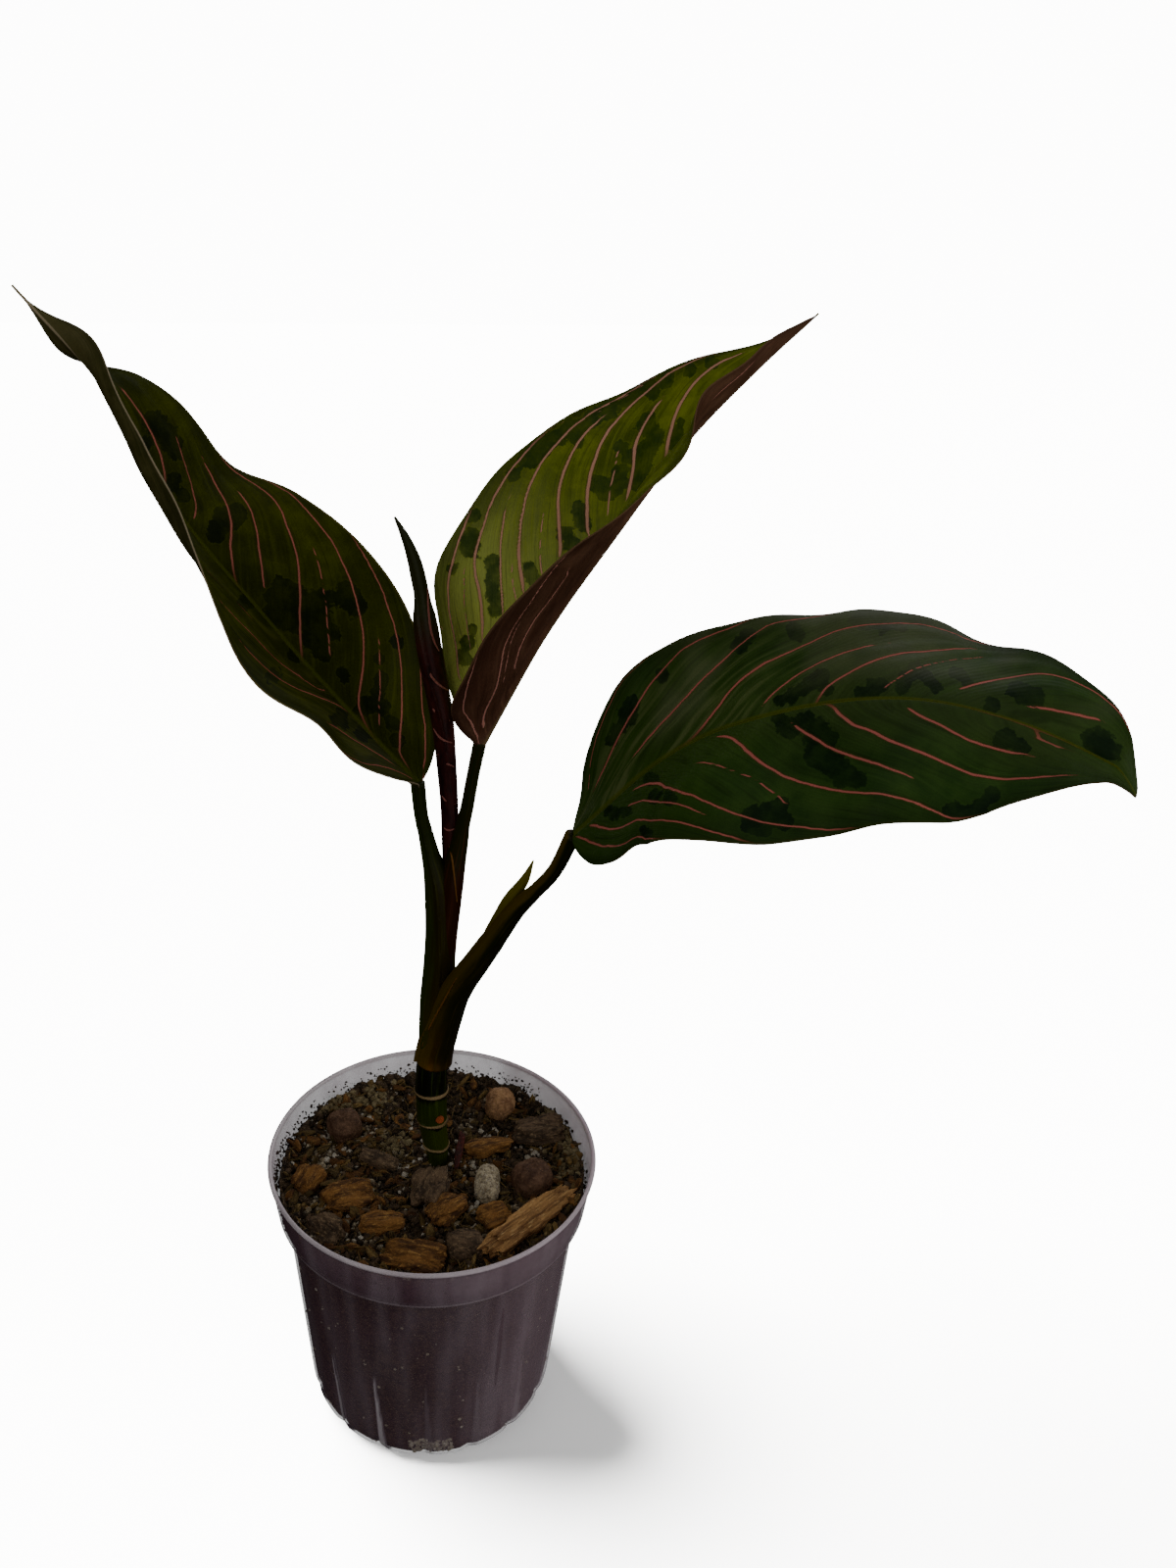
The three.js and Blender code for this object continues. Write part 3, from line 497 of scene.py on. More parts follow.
def vein_fields(half, t, spread, grid):
    """Vein number and strength over a half. Each traced vein is the half's usual bend plus powers of v
    fitted to its spots, more of them for a longer trace. The number climbs by one from vein to vein."""
    shape = half["reach"] * -np.log(1 - half["bend"] * spread)
    curves, limits = [], []
    for strength, spots in traced(half["veins"]):
        i, j = np.divmod(carried(grid, spots), len(spread))
        places = spread[j]
        powers = [0, 0.7, 1.2, 2.2] if len(spots) > 6 else [0, 1, 2] if len(spots) > 4 else [0, 1]
        fit = np.linalg.lstsq(np.maximum(places, 1e-3)[:, None] ** powers, t[i] - shape[j], rcond=None)[0]
        low, high = places.min(), places.max()
        curve = np.clip(spread, max(low - 0.06, 1e-3), high)[:, None] ** powers @ fit + shape
        # Read from the margin in, a vein always falls back towards the base, so it never hooks.
        lean = 0.1 * spread
        curves.append(np.minimum.accumulate((curve - lean)[::-1])[::-1] + lean)
        limits.append((strength, -1 if low < 0.07 else low, 2 if high > 0.85 else high))
    curves = np.array([curves[0] - 0.3] + curves + [curves[-1] + 0.4])
    steps = 0.012 * np.arange(len(curves))[:, None]
    curves = np.maximum.accumulate(curves - steps, 0) + steps
    place = (t[None, :, None] - curves[:-1, None]) / (curves[1:] - curves[:-1])[:, None]
    number = np.clip(place, 0, 1).sum(0)
    limits = np.array([(0, 0, 0)] + limits + [(0, 0, 0)])
    strength, low, high = np.moveaxis(limits[np.rint(number).astype(int)], -1, 0)
    window = np.clip((spread - low) / 0.05 + 0.5, 0, 1) * np.clip((high - spread) / 0.05 + 0.5, 0, 1)
    return number, strength * window


def per_step(grid, field):
    """Millimetres over which the field grows by one, from its slope along the surface."""
    du, dv = np.gradient(grid, axis=0), np.gradient(grid, axis=1)
    fu, fv = np.gradient(field)
    uu, vv, uv = (du * du).sum(-1), (dv * dv).sum(-1), (du * dv).sum(-1)
    slope = (fu ** 2 * vv - 2 * fu * fv * uv + fv ** 2 * uu) / np.maximum(uu * vv - uv ** 2, 1e-6)
    return 1 / np.sqrt(np.maximum(slope, 1e-4))


def traced(text):
    """The veins of a traced text: each one's strength, and its spots as rows of (x, y)."""
    for vein in text.split(";"):
        strength, *spots = vein.split()
        yield float(strength), [spot.split(",") for spot in spots]


def blotch_field(half, grid):
    """Over 0 inside a dark blotch. Each blotch is a soft hill, exp(-1.6 d d) with d the distance in its
    own radius, the hills add up so that neighbours run together, and the sum is turned back to 1 - d."""
    seen = framed(grid)[0]
    spots = np.array([spot.split(",") for spot in half["blotches"].split()], float)
    reach = np.linalg.norm(seen[..., None, :] - spots[:, :2], axis=-1) / spots[:, 2]
    hills = np.exp(-1.6 * np.minimum(reach, 4) ** 2).sum(-1)
    return 1 - np.sqrt(np.maximum(-np.log(np.minimum(hills, 1)) / 1.6, 0))


def make_blade(name, blade, materials):
    """A blade: each line across it leaves the midrib at its lift and turns by its curl. It is given
    a thickness along its own normals, puckers between main veins, and a rib under the midrib."""
    t = np.linspace(0, 1, BLADE["along"])
    spread = np.linspace(0, 1, BLADE["across"] + 1) ** 1.2
    midrib = along(blade["midrib"], t)
    forward = unit(along(blade["midrib"], t + 0.004) - along(blade["midrib"], t - 0.004))
    across = unit(np.cross(forward, np.array(blade["face"], float)))
    up = np.cross(across, forward)
    midrib[:, 2] -= blade.get("hook", 0) * np.clip((t - 0.955) / 0.045, 0, 1) ** 1.5
    halves, widths, numbers, lines, gaps, patches = [], [], [], [], [], []
    for side, half in ((-1, blade["left"]), (1, blade["right"])):
        lift, curl = np.radians(along(half["lift"], t)), np.radians(along(half["curl"], t))
        width = half_width(blade, half, t)
        middle = (spread[1:] + spread[:-1]) / 2
        angle = lift[:, None] + curl[:, None] * (middle[None] - 0.5)
        step = np.diff(spread)[None] * width[:, None]
        out = np.concatenate([np.zeros((len(t), 1)), np.cumsum(np.cos(angle) * step, 1)], 1)
        high = np.concatenate([np.zeros((len(t), 1)), np.cumsum(np.sin(angle) * step, 1)], 1)
        grid = midrib[:, None] + side * out[..., None] * across[:, None] + high[..., None] * up[:, None]
        number, line = vein_fields(half, t, spread, grid)
        halves.append(grid)
        widths.append(width[:, None] * spread)
        numbers.append(number)
        lines.append(line)
        gaps.append(per_step(grid, number))
        patches.append(blotch_field(half, grid))

    def joined(left, right):
        return np.concatenate([left[:, :0:-1], right], 1)

    grid = joined(*halves)
    number, line, gap, patch = joined(*numbers), joined(*lines), joined(*gaps), joined(*patches)
    v = np.concatenate([spread[:0:-1], spread])[None].repeat(len(t), 0)
    side = np.concatenate([-np.ones(BLADE["across"]), np.ones(BLADE["across"] + 1)])[None]
    side = side.repeat(len(t), 0)
    out_mm = joined(*widths)
    normal = unit(np.cross(np.gradient(grid, axis=1), np.gradient(grid, axis=0)))
    # Puckers stand up to a third of a millimetre between main veins and fade at the edge and midrib.
    fade = np.clip(out_mm / 6, 0, 1) * np.clip((1 - v) * 5, 0, 1)
    pucker = 0.16 * (1 - np.cos(2 * np.pi * number)) * fade * np.clip(gap / 8, 0, 1)
    sway = ripples(grid.reshape(-1, 3), 24, blade["seed"]).reshape(v.shape)
    sway = 0.5 * sway * np.clip(out_mm / 12, 0, 1)
    grid = grid + (pucker + sway)[..., None] * normal
    groove = 0.35 * np.exp(-(out_mm / 0.9) ** 2)
    rib = BLADE["rib"] * (1 - 0.85 * t[:, None]) * np.exp(-(out_mm / BLADE["rib_width"]) ** 2)
    thin = BLADE["thick"] * (1 - 0.35 * v)
    upper = grid + (thin / 2 - groove)[..., None] * normal
    lower = grid - (thin / 2 + rib)[..., None] * normal
    rows, wide = v.shape
    total = rows * wide
    top = ring_faces(rows, wide, closed=False)
    bottom = top[:, ::-1] + total
    i, j = np.arange(rows - 1), np.arange(wide - 1)
    rims = []
    for a, b in (((i + 1) * wide, i * wide), (i * wide + wide - 1, (i + 1) * wide + wide - 1),
                 (j, j + 1), ((rows - 1) * wide + j + 1, (rows - 1) * wide + j)):
        rims.append(np.stack([a, a + total, b + total, b], -1))
    rims = np.vstack(rims)
    faces = np.vstack([top, bottom, rims])
    kinds = np.concatenate([np.zeros(len(top)), np.ones(len(bottom)), np.ones(len(rims))])

    def both(numbers):
        return np.tile(np.broadcast_to(numbers, v.shape).ravel(), 2)

    uv = np.stack([both(number + SECOND_HALF * (side > 0)), both(v)], -1)
    values = {"gap": both(gap), "line": both(line), "patch": both(patch), "out": both(out_mm),
              "along": both(t[:, None])}
    points = np.vstack([upper.reshape(-1, 3), lower.reshape(-1, 3)])
    return put_mesh(name, points, faces, materials, kinds, uv, values)


def blade_material(name, palette, is_upper):
    """Leaf cuticle: a skin of wax, so a mid roughness and a soft sheen, over a coloured blade, and a painted
    grey sheen over its left half. A vein is a line 0.6 to 0.9 mm wide where the vein number is whole, and a
    weak one is thinner and in dashes."""
    material, add, place = new_material(name)
    uv = add("UVMap", uv_map="veins")
    number, v = add("SeparateXYZ", uv), add("SeparateXYZ", uv, out=1)
    gap, line, out, t = (add("field", attribute_name=key) for key in ("gap", "line", "out", "along"))
    wobble = swing(add, add("noise", place, 1 / 9, 2), 1.4)
    nearest = add("FLOOR", add("ADD", number, 0.5))
    off = add("MULTIPLY", add("SUBTRACT", number, nearest), gap)
    off = add("ABSOLUTE", add("ADD", off, wobble))
    half = add("MULTIPLY", add("ramp", line, 0.5, 1.0, 0.22, palette["vein"]),
               add("ramp", v, 0.3, 1.0, 1.0, 0.6))
    share = add("DIVIDE", off, half)
    stretched = add("CombineXYZ", add("MULTIPLY", nearest, 7.3), add("MULTIPLY", v, 24.0))
    dash = add("noise", stretched, 1.0, 1.0, 0.5)
    dash = add("MAXIMUM", add("ramp", dash, 0.42, 0.5), add("ramp", line, 0.6, 0.7))
    vein = add("MULTIPLY", add("ramp", share, 0.7, 1.2, 1.0, 0.0),
               add("ramp", line, 0.1, 0.35))
    vein = add("MULTIPLY", add("MULTIPLY", vein, dash), add("ramp", v, 0.95, 0.995, 1.0, 0.0))
    vein = add("MULTIPLY", vein, add("ramp", out, 0.6, 4.0, 0.25, 1.0))
    # Fine side veins run between the traced ones, about 1 mm apart.
    fine = add("SINE", add("MULTIPLY", add("ADD", number, add("MULTIPLY", wobble, 0.05)), 2 * math.pi * 9))
    mottle, cloud = add("noise", place, 1 / 7, 4), add("noise", place, 1 / 24, 2)
    colour = add("mix", add("ramp", mottle, 0.35, 0.7), palette["green"], palette["light"])
    colour = add("mix", add("MULTIPLY", add("ramp", cloud, 0.35, 0.7), 0.5), colour, palette["deep"])
    colour = add("mix", add("ramp", out, 1.0, 16.0, 0.5, 0.0), colour, palette["inner"])
    colour = add("mix", add("ramp", t, 0.12, 0.5, 0.75, 0.0), colour, palette["foot"])
    # Streaks about 2.5 mm wide lie along the side veins, where the blade is drawn out as it grows.
    drawn = add("CombineXYZ", add("MULTIPLY", number, 6.0), add("MULTIPLY", v, 2.6))
    streaks = add("noise", drawn, 1.0, 3.0, 0.5)
    colour = add("mix", add("ramp", streaks, 0.5, 0.72, 0.0, 0.5), colour, palette["light"])
    colour = add("mix", add("ramp", streaks, 0.3, 0.46, 0.45, 0.0), colour, palette["deep"])
    # Pale feathering fans out from the midrib's foot over the left half.
    left = add("ramp", number, SECOND_HALF - 3, SECOND_HALF - 1, 1.0, 0.0)
    feather = add("MULTIPLY", add("ramp", streaks, 0.47, 0.62), left)
    feather = add("MULTIPLY", feather, add("ramp", t, 0.15, 0.6, palette["feather"], 0.0))
    feather = add("MULTIPLY", feather, add("ramp", v, 0.3, 0.9, 1.0, 0.2))
    colour = add("mix", feather, colour, palette["plume"])
    # A painted grey sheen, standing for a bright light reflected from behind, clouds the left half, which
    # faces up.
    sheen_cloud = add("MULTIPLY", add("ramp", add("noise", place, 1 / 30, 2), 0.42, 0.6), add("ramp", v, 0.05, 0.4))
    sheen_cloud = add("MULTIPLY", sheen_cloud, add("MULTIPLY", left, palette["painted_sheen"]))
    colour = add("mix", add("ramp", v, 0.72, 1.0, 0.0, palette["margin"]), colour, palette["deep"])
    if is_upper:
        # Dark blotches with ragged borders, each with a faint pale rim, as the camouflage of the leaf.
        ragged = swing(add, add("noise", place, 1 / 3.5, 4, 0.65), 2.2)
        field = add("ADD", add("field", attribute_name="patch"), ragged)
        rim = add("MULTIPLY", add("ramp", field, -0.25, -0.02), 0.25)
        colour = add("mix", rim, colour, palette["light"])
        depth = add("ramp", add("noise", place, 1 / 5, 3), 0.35, 0.65, 0.6, 0.92)
        inside = add("MULTIPLY", add("ramp", field, -0.08, 0.08), depth)
        colour = add("mix", inside, colour, palette["patch"])
    colour = add("mix", add("ramp", fine, 0.2, 1.0, 0.0, 0.12), colour, palette["deep"])
    # The painted grey sheen is laid on here.
    colour = add("mix", add("MULTIPLY", sheen_cloud, 0.6), colour, "#6c7050")
    edge = add("MULTIPLY", add("ramp", share, 0.9, 2.2, 0.5, 0.0), add("ramp", line, 0.3, 0.7))
    colour = add("mix", add("MULTIPLY", edge, dash), colour, palette["vein_edge"])
    colour = add("mix", vein, colour, palette["pink"])
    rib_half = add("ramp", t, 0.0, 0.9, 1.0, 0.3)
    rib = add("ramp", add("DIVIDE", out, rib_half), 0.5, 1.4, 1.0, 0.0)
    colour = add("mix", add("MULTIPLY", rib, 0.75), colour, palette["rib"])
    colour = add("mix", add("ramp", v, 0.975, 0.995, 0.0, 0.7), colour, palette["rim"])
    height = add("ADD", add("MULTIPLY", vein, -0.45 if is_upper else 0.6), add("MULTIPLY", fine, 0.06))
    height = add("ADD", height, add("MULTIPLY", add("noise", place, 1 / 1.6, 3), 0.22))
    gloss = add("ramp", add("noise", place, 1 / 14, 3), 0.3, 0.75, palette["rough"] - 0.06,
                palette["rough"] + 0.08)
    return finish_material(material, add, {"Base Color": colour, "Roughness": gloss, "IOR": LEAF_IOR,
                                           "Specular IOR Level": palette["gloss"]}, height, 0.25)


def around_noise(add, lengthwise, crosswise, detail=3.0):
    """Noise drawn out along a stem: its skin's own place times these numbers of patches."""
    skin = add("around")
    drawn = add("VectorMath", skin, (crosswise, crosswise, lengthwise), operation="MULTIPLY")
    return add("noise", drawn, 1.0, detail, 0.5)


def stem_material(name, tones, streak, side_tone=None, rings=(), far_tone=None):
    """Smooth plant skin with lengthwise fibres about 0.6 mm apart. tones are (height in mm, colour)
    from the bottom up. side_tone and far_tone are colours for the skin towards -X and towards +X."""
    material, add, place = new_material(name)
    z = add("SeparateXYZ", place, out=2)
    drift = swing(add, add("noise", place, 1 / 8, 3), 9.0)
    height = add("ADD", z, drift)
    colour = tones[0][1]
    for (low, _), (high, tone) in zip(tones, tones[1:]):
        colour = add("mix", add("ramp", height, low, high), colour, tone)
    if side_tone:
        left = add("SeparateXYZ", add("around"))
        uneven = swing(add, around_noise(add, 6, 2), 0.8)
        share = add("ADD", left, uneven)
        colour = add("mix", add("ramp", share, -0.75, -0.15, 0.9, 0.0), colour, side_tone)
        if far_tone:
            colour = add("mix", add("ramp", share, -0.2, 0.5, 0.0, 0.85), colour, far_tone)
    fibre = around_noise(add, 5, 7.5)
    colour = add("mix", add("ramp", fibre, 0.5, 0.75, 0.0, 0.5), colour, streak)
    specks = add("ramp", add("noise", place, 1 / 0.8, 2), 0.7, 0.76)
    colour = add("mix", add("MULTIPLY", specks, 0.25), colour, streak)
    relief = fibre
    # A leaf scar is a dry tan line about 1.5 mm high, with a dark shade just under it.
    for at in rings:
        bent = add("ADD", z, add("MULTIPLY", add("noise", place, 1 / 5, 2), 1.4))
        off = add("ABSOLUTE", add("SUBTRACT", bent, at + 0.7))
        ring = add("ramp", off, 0.4, 0.8, 1.0, 0.0)
        colour = add("mix", add("MULTIPLY", ring, 0.9), colour, "#977e56")
        shade = add("MULTIPLY", add("ramp", add("SUBTRACT", at + 0.2, bent), 0.0, 1.6, 0.75, 0.0),
                    add("ramp", add("SUBTRACT", at, bent), -0.4, 0.2))
        colour = add("mix", shade, colour, "#0b0f06")
        relief = add("SUBTRACT", relief, add("MULTIPLY", ring, 0.5))
    return finish_material(material, add, {"Base Color": colour, **SKIN}, relief, 0.15)


def rolled_material():
    """Young maroon cuticle, glossier than an old blade, with pink veins that climb round the roll."""
    material, add, place = new_material("young_rolled_cuticle")
    z = add("SeparateXYZ", place, out=2)
    skin = add("around")
    back = add("SeparateXYZ", skin, out=1)
    turn = add("DIVIDE", add("ARCTAN2", back, add("SeparateXYZ", skin)), 2 * math.pi)
    # A vein every 11 mm that drops 11 mm in a full turn, so that it meets the next one there.
    jitter = swing(add, add("noise", place, 1 / 14, 1), 0.35)
    climb = add("ADD", add("ADD", add("DIVIDE", z, 11.0), turn), jitter)
    off = add("ABSOLUTE", add("SUBTRACT", add("FRACT", climb), 0.5))
    vein = add("ramp", off, 0.02, 0.05, 1.0, 0.0)
    vein = add("MULTIPLY", vein, add("ramp", z, 276, 284, 1.0, 0.0))
    # Only at the back: the veins in front lie where the photograph shows them, as raised lines.
    vein = add("MULTIPLY", vein, add("ramp", back, 0.0, 0.15))
    shade = around_noise(add, 14, 1.5)
    colour = add("mix", add("ramp", shade, 0.3, 0.7), "#260f0f", "#4a1e1a")
    colour = add("mix", add("ramp", z, 272, 288), colour, "#313215")
    colour = add("mix", add("MULTIPLY", vein, 0.8), colour, "#c6847a")
    relief = add("ADD", add("MULTIPLY", vein, 0.5), add("MULTIPLY", around_noise(add, 8, 7), 0.4))
    return finish_material(material, add, {"Base Color": colour, **SKIN}, relief, 0.2)


def pot_material():
    """Thin injection-moulded polypropylene: a hazy mauve grey that lets the mix show through, clearer
    between the marks of its flow, which run down the wall, and whiter where it is scuffed. Painted light on
    it:
    a paler, hazier side towards +X, and painted highlights on the foot grooves and along the lip."""
    material, add, place = new_material("hazy_clear_polypropylene")
    z = add("SeparateXYZ", place, out=2)
    drawn = add("VectorMath", place, (1, 1, 0.06), operation="MULTIPLY")
    flow = add("noise", drawn, 1 / 9, 2)
    haze = add("noise", place, 1 / 16, 4)
    scuffs = add("ramp", add("noise", place, 1 / 1.0, 5, 0.75), 0.64, 0.78)
    scuffs = add("MULTIPLY", scuffs, add("ramp", add("noise", place, 1 / 18, 1), 0.45, 0.6))
    colour = add("mix", add("ramp", flow, 0.3, 0.7), "#8b6777", "#b79fab")
    colour = add("mix", add("MULTIPLY", scuffs, 0.6), colour, "#f9f9f9")
    # The lip and the bead at the ledge are paler: partly thicker plastic bent double, partly a painted
    # highlight along them.
    bead_highlight = add("ramp", add("ABSOLUTE", add("SUBTRACT", z, 84.3)), 0.3, 0.8, 1.0, 0.0)
    lip = add("MAXIMUM", add("ramp", z, 98.2, 99.2), add("MULTIPLY", bead_highlight, 0.5))
    colour = add("mix", lip, colour, "#e4d7dc")
    facing = add("LayerWeight", out="Facing", Blend=0.35)
    # Painted light: the side towards +X is paler and hazier, as if lit from the right.
    x = add("SeparateXYZ", place)
    lit_side = add("ramp", add("ADD", x, add("MULTIPLY", flow, 12.0)), 10.0, 44.0)
    colour = add("mix", add("MULTIPLY", lit_side, 0.5), colour, "#e3cbd4")
    # Painted highlight: one face of each foot groove is whiter and less clear than the other, most of all
    # towards -X.
    facet_glint = add("MULTIPLY", add("field", attribute_name="facet_glint"), add("ramp", x, -13.0, 4.0, 1.0, 0.2))
    colour = add("mix", add("MULTIPLY", facet_glint, 0.8), colour, "#efe6ea")
    grime = add("ramp", add("noise", place, 1 / 2.2, 4, 0.6), 0.45, 0.75, 0.0, 0.05)
    haze = add("ADD", add("ramp", haze, 0.35, 0.75, 0.0, 0.08), grime)
    clear = add("ADD", add("ramp", flow, 0.3, 0.7, 0.07, 0.15), haze)
    ledge = add("ramp", z, 83.8, 84.6)
    for part, amount in ((lit_side, 0.16), (facet_glint, 0.7), (facing, 0.3), (ledge, 0.22), (scuffs, 0.3),
                         (lip, 0.4)):
        clear = add("ADD", clear, add("MULTIPLY", part, amount), use_clamp=True)
    settings = {"Base Color": colour, "Roughness": 0.26, "IOR": 1.49, "Alpha": clear}
    return finish_material(material, add, settings, add("noise", place, 1 / 3, 3), 0.05)


def grain_material(name, dark, mid, light, patch_mm, rough=0.9, stretch=(1, 1, 1), depth=0.5):
    """Dry rough stuff: three tones in patches and a coarse bump. stretch draws the patches out, as wood
    grain, along the first of the piece's own directions."""
    material, add, _ = new_material(name)
    drawn = add("VectorMath", add("own"), stretch, operation="MULTIPLY")
    coarse, fine = add("noise", drawn, 1 / patch_mm, 6, 0.65), add("noise", drawn, 4 / patch_mm, 5, 0.7)
    # The dark tone lies where the bump is low: painted shade in the pits.
    colour = add("mix", add("ramp", coarse, 0.35, 0.62), dark, mid)
    colour = add("mix", add("ramp", fine, 0.52, 0.78), colour, light)
    colour = add("mix", add("MULTIPLY", add("field", attribute_name="tone"), 0.75), colour, dark)
    relief = add("ADD", coarse, add("MULTIPLY", fine, 0.6))
    return finish_material(material, add, {"Base Color": colour, "Roughness": rough, "IOR": 1.4},
                           relief, depth)


def groove_offset(turn, z):
    """Degrees from the middle of the nearest foot groove, and the share 0 to 1 down the groove."""
    share = np.clip((GROOVE["top"] - z) / GROOVE["top"], 0, 1)
    step = 360 / GROOVE["count"]
    return np.mod(np.degrees(turn) - GROOVE["first"] + step / 2, step) - step / 2, share


def groove_depth(turn, z):
    """How far a foot groove goes in: a wedge, widest and deepest at the bottom."""
    offset, share = groove_offset(turn, z)
    return GROOVE["depth"] * share * np.clip(1 - np.abs(offset) / (GROOVE["width"] / 2), 0, 1)


def groove_facet(turn, z):
    """1 on the face of a groove that looks back along the turn, and 0 elsewhere: a wedge that narrows to
    a point at the groove's top."""
    offset, share = groove_offset(turn, z)
    reach = offset / np.maximum(GROOVE["width"] * 0.6 * share, 1e-3)
    return np.clip(reach * 6, 0, 1) * np.clip((1 - reach) * 6, 0, 1) * np.clip(share * 4, 0, 1)


def wall_profile(inset):
    """The wall's profile as (radius, height) from foot to ledge, moved in by this many millimetres."""
    t = np.linspace(0, 1, 9)
    corner = (1 - t) ** 2 * POT["base"] + 2 * t * (1 - t) * (POT["corner"] - 0.9) + t * t * POT["corner"]
    corner = corner - inset
    foot = np.stack([corner, t * t * POT["corner_z"] + inset * (1 - t)], -1)
    z = np.linspace(POT["corner_z"], POT["shoulder_z"], 30)[1:]
    slope = (z - POT["corner_z"]) / (POT["shoulder_z"] - POT["corner_z"])
    wall = np.stack([POT["corner"] + (POT["shoulder"] - POT["corner"]) * slope - inset, z], -1)
    s = np.linspace(0, 1, 7)[1:]
    ledge = np.stack([POT["shoulder"] + (POT["ledge"] - POT["shoulder"]) * (3 * s ** 2 - 2 * s ** 3) - inset,
                      POT["shoulder_z"] + (POT["ledge_z"] - POT["shoulder_z"]) * s], -1)
    return np.vstack([foot, wall, ledge])


def turned(profile, sectors, grooved=True):
    """Rings of points from a (radius, height) profile, with the foot grooves pressed in."""
    turn = np.radians(GROOVE["first"]) + np.linspace(0, 2 * np.pi, sectors, endpoint=False)
    radius, z = profile[:, :1], profile[:, 1:]
    reach = radius - (groove_depth(turn[None], z) if grooved else 0)
    return np.stack([reach * np.cos(turn), reach * np.sin(turn), np.broadcast_to(z, reach.shape)], -1)


def make_pot(material):
    """The pot's wall is one profile turned round: up the outside, over the rolled lip, down the inside."""
    rim, top = POT["rim"], POT["height"]
    collar = np.array([(POT["ledge"] + 0.8, 90), (POT["ledge"] + 1.7, 97), (rim - 0.5, 98.2)])
    a = np.linspace(0, np.pi, 9)
    lip = np.stack([rim - 0.75 + 0.75 * np.cos(a), top - 0.8 + 0.8 * np.sin(a)], -1)
    inner = collar[::-1] - (POT["wall"], 0)
    profile = np.vstack([wall_profile(0), collar, lip, inner, wall_profile(POT["wall"])[::-1]])
    grid = turned(profile, POT["sectors"])
    points, faces = capped(grid)
    # The groove faces that carry the pot's painted highlight.
    facet_glint = groove_facet(np.arctan2(grid[..., 1], grid[..., 0]), grid[..., 2]).ravel()
    piece = put_mesh("clear_pot", points, faces, [material], values={"facet_glint": np.append(facet_glint, (0, 0))})
    cutters = []
    for i in range(DRAIN["count"]):
        turn = math.radians(GROOVE["first"]) + 2 * math.pi * i / DRAIN["count"]
        at = [DRAIN["ring"] * math.cos(turn) * MM, DRAIN["ring"] * math.sin(turn) * MM, 0]
        bpy.ops.mesh.primitive_cylinder_add(vertices=24, radius=DRAIN["radius"] * MM, depth=6 * MM,
                                            location=at)
        cutters.append(bpy.context.object)
    for cutter in cutters:
        cut = piece.modifiers.new("drain", "BOOLEAN")
        cut.object, cut.operation, cut.solver = cutter, "DIFFERENCE", "EXACT"
        with bpy.context.temp_override(object=piece, active_object=piece):
            bpy.ops.object.modifier_apply(modifier=cut.name)
        bpy.data.objects.remove(cutter)
    return piece


def soil_height(x, y):
    """The mix's top, as in the solids: a bank at the wall and lumps made of a few crossed waves."""
    bank = SOIL["bank"] * np.clip((np.hypot(x, y) - SOIL["bank_start"]) / 10, 0, 1) ** 2
    lumps = 0.8 * np.sin(0.45 * x + 1) * np.sin(0.5 * y + 2) + 0.5 * np.sin(1.1 * x) * np.cos(0.9 * y)
    return SOIL["level"] + bank + lumps


def make_soil(material):
    """The mix as one closed body: the pot's inner profile, then rings of an uneven top."""
    side = turned(wall_profile(POT["wall"] + 0.1), SOIL["sectors"])
    side = side[side[:, 0, 2] <= SOIL["side_top"]]
    reach = SOIL["top_reach"] * (1 - np.linspace(0, 1, SOIL["rings"] + 1)[:-1])
    turn = np.radians(GROOVE["first"]) + np.linspace(0, 2 * np.pi, SOIL["sectors"], endpoint=False)
    x, y = reach[:, None] * np.cos(turn), reach[:, None] * np.sin(turn)
    flat = np.stack([x, y, np.zeros_like(x)], -1).reshape(-1, 3)
    bumps = 0.7 * ripples(flat, 6, 1) + 0.5 * ripples(flat, 2.5, 2) + 0.2 * ripples(flat, 1.2, 4)
    top = np.stack([x, y, soil_height(x, y) + bumps.reshape(x.shape) - 0.8], -1)
    points, faces = capped(np.concatenate([side, top]))
    return put_mesh("potting_mix", points, faces, [material],
                    values={"tone": np.zeros(len(points)), "own": points})


def ball(subdivisions):
    """Points and faces of a unit ball made of triangles."""
    bpy.ops.mesh.primitive_ico_sphere_add(subdivisions=subdivisions, radius=1)
    made = bpy.context.object
    points = np.array([p.co for p in made.data.vertices])
    faces = np.array([tuple(f.vertices) for f in made.data.polygons])
    bpy.data.objects.remove(made)
    return points, faces


def rotations(rng, count, lean=1.0):
    """Turns as 3 by 3 matrices: any way up at a lean of 1, and near level, turned about Z, at 0."""
    q = rng.normal(size=(count, 4)) * np.array([1, lean, lean, 1])
    w, x, y, z = unit(q).T
    rows = [1 - 2 * (y * y + z * z), 2 * (x * y + w * z), 2 * (x * z - w * y),
            2 * (x * y - w * z), 1 - 2 * (x * x + z * z), 2 * (y * z + w * x),
            2 * (x * z + w * y), 2 * (y * z - w * x), 1 - 2 * (x * x + y * y)]
    return np.stack(rows, -1).reshape(-1, 3, 3)


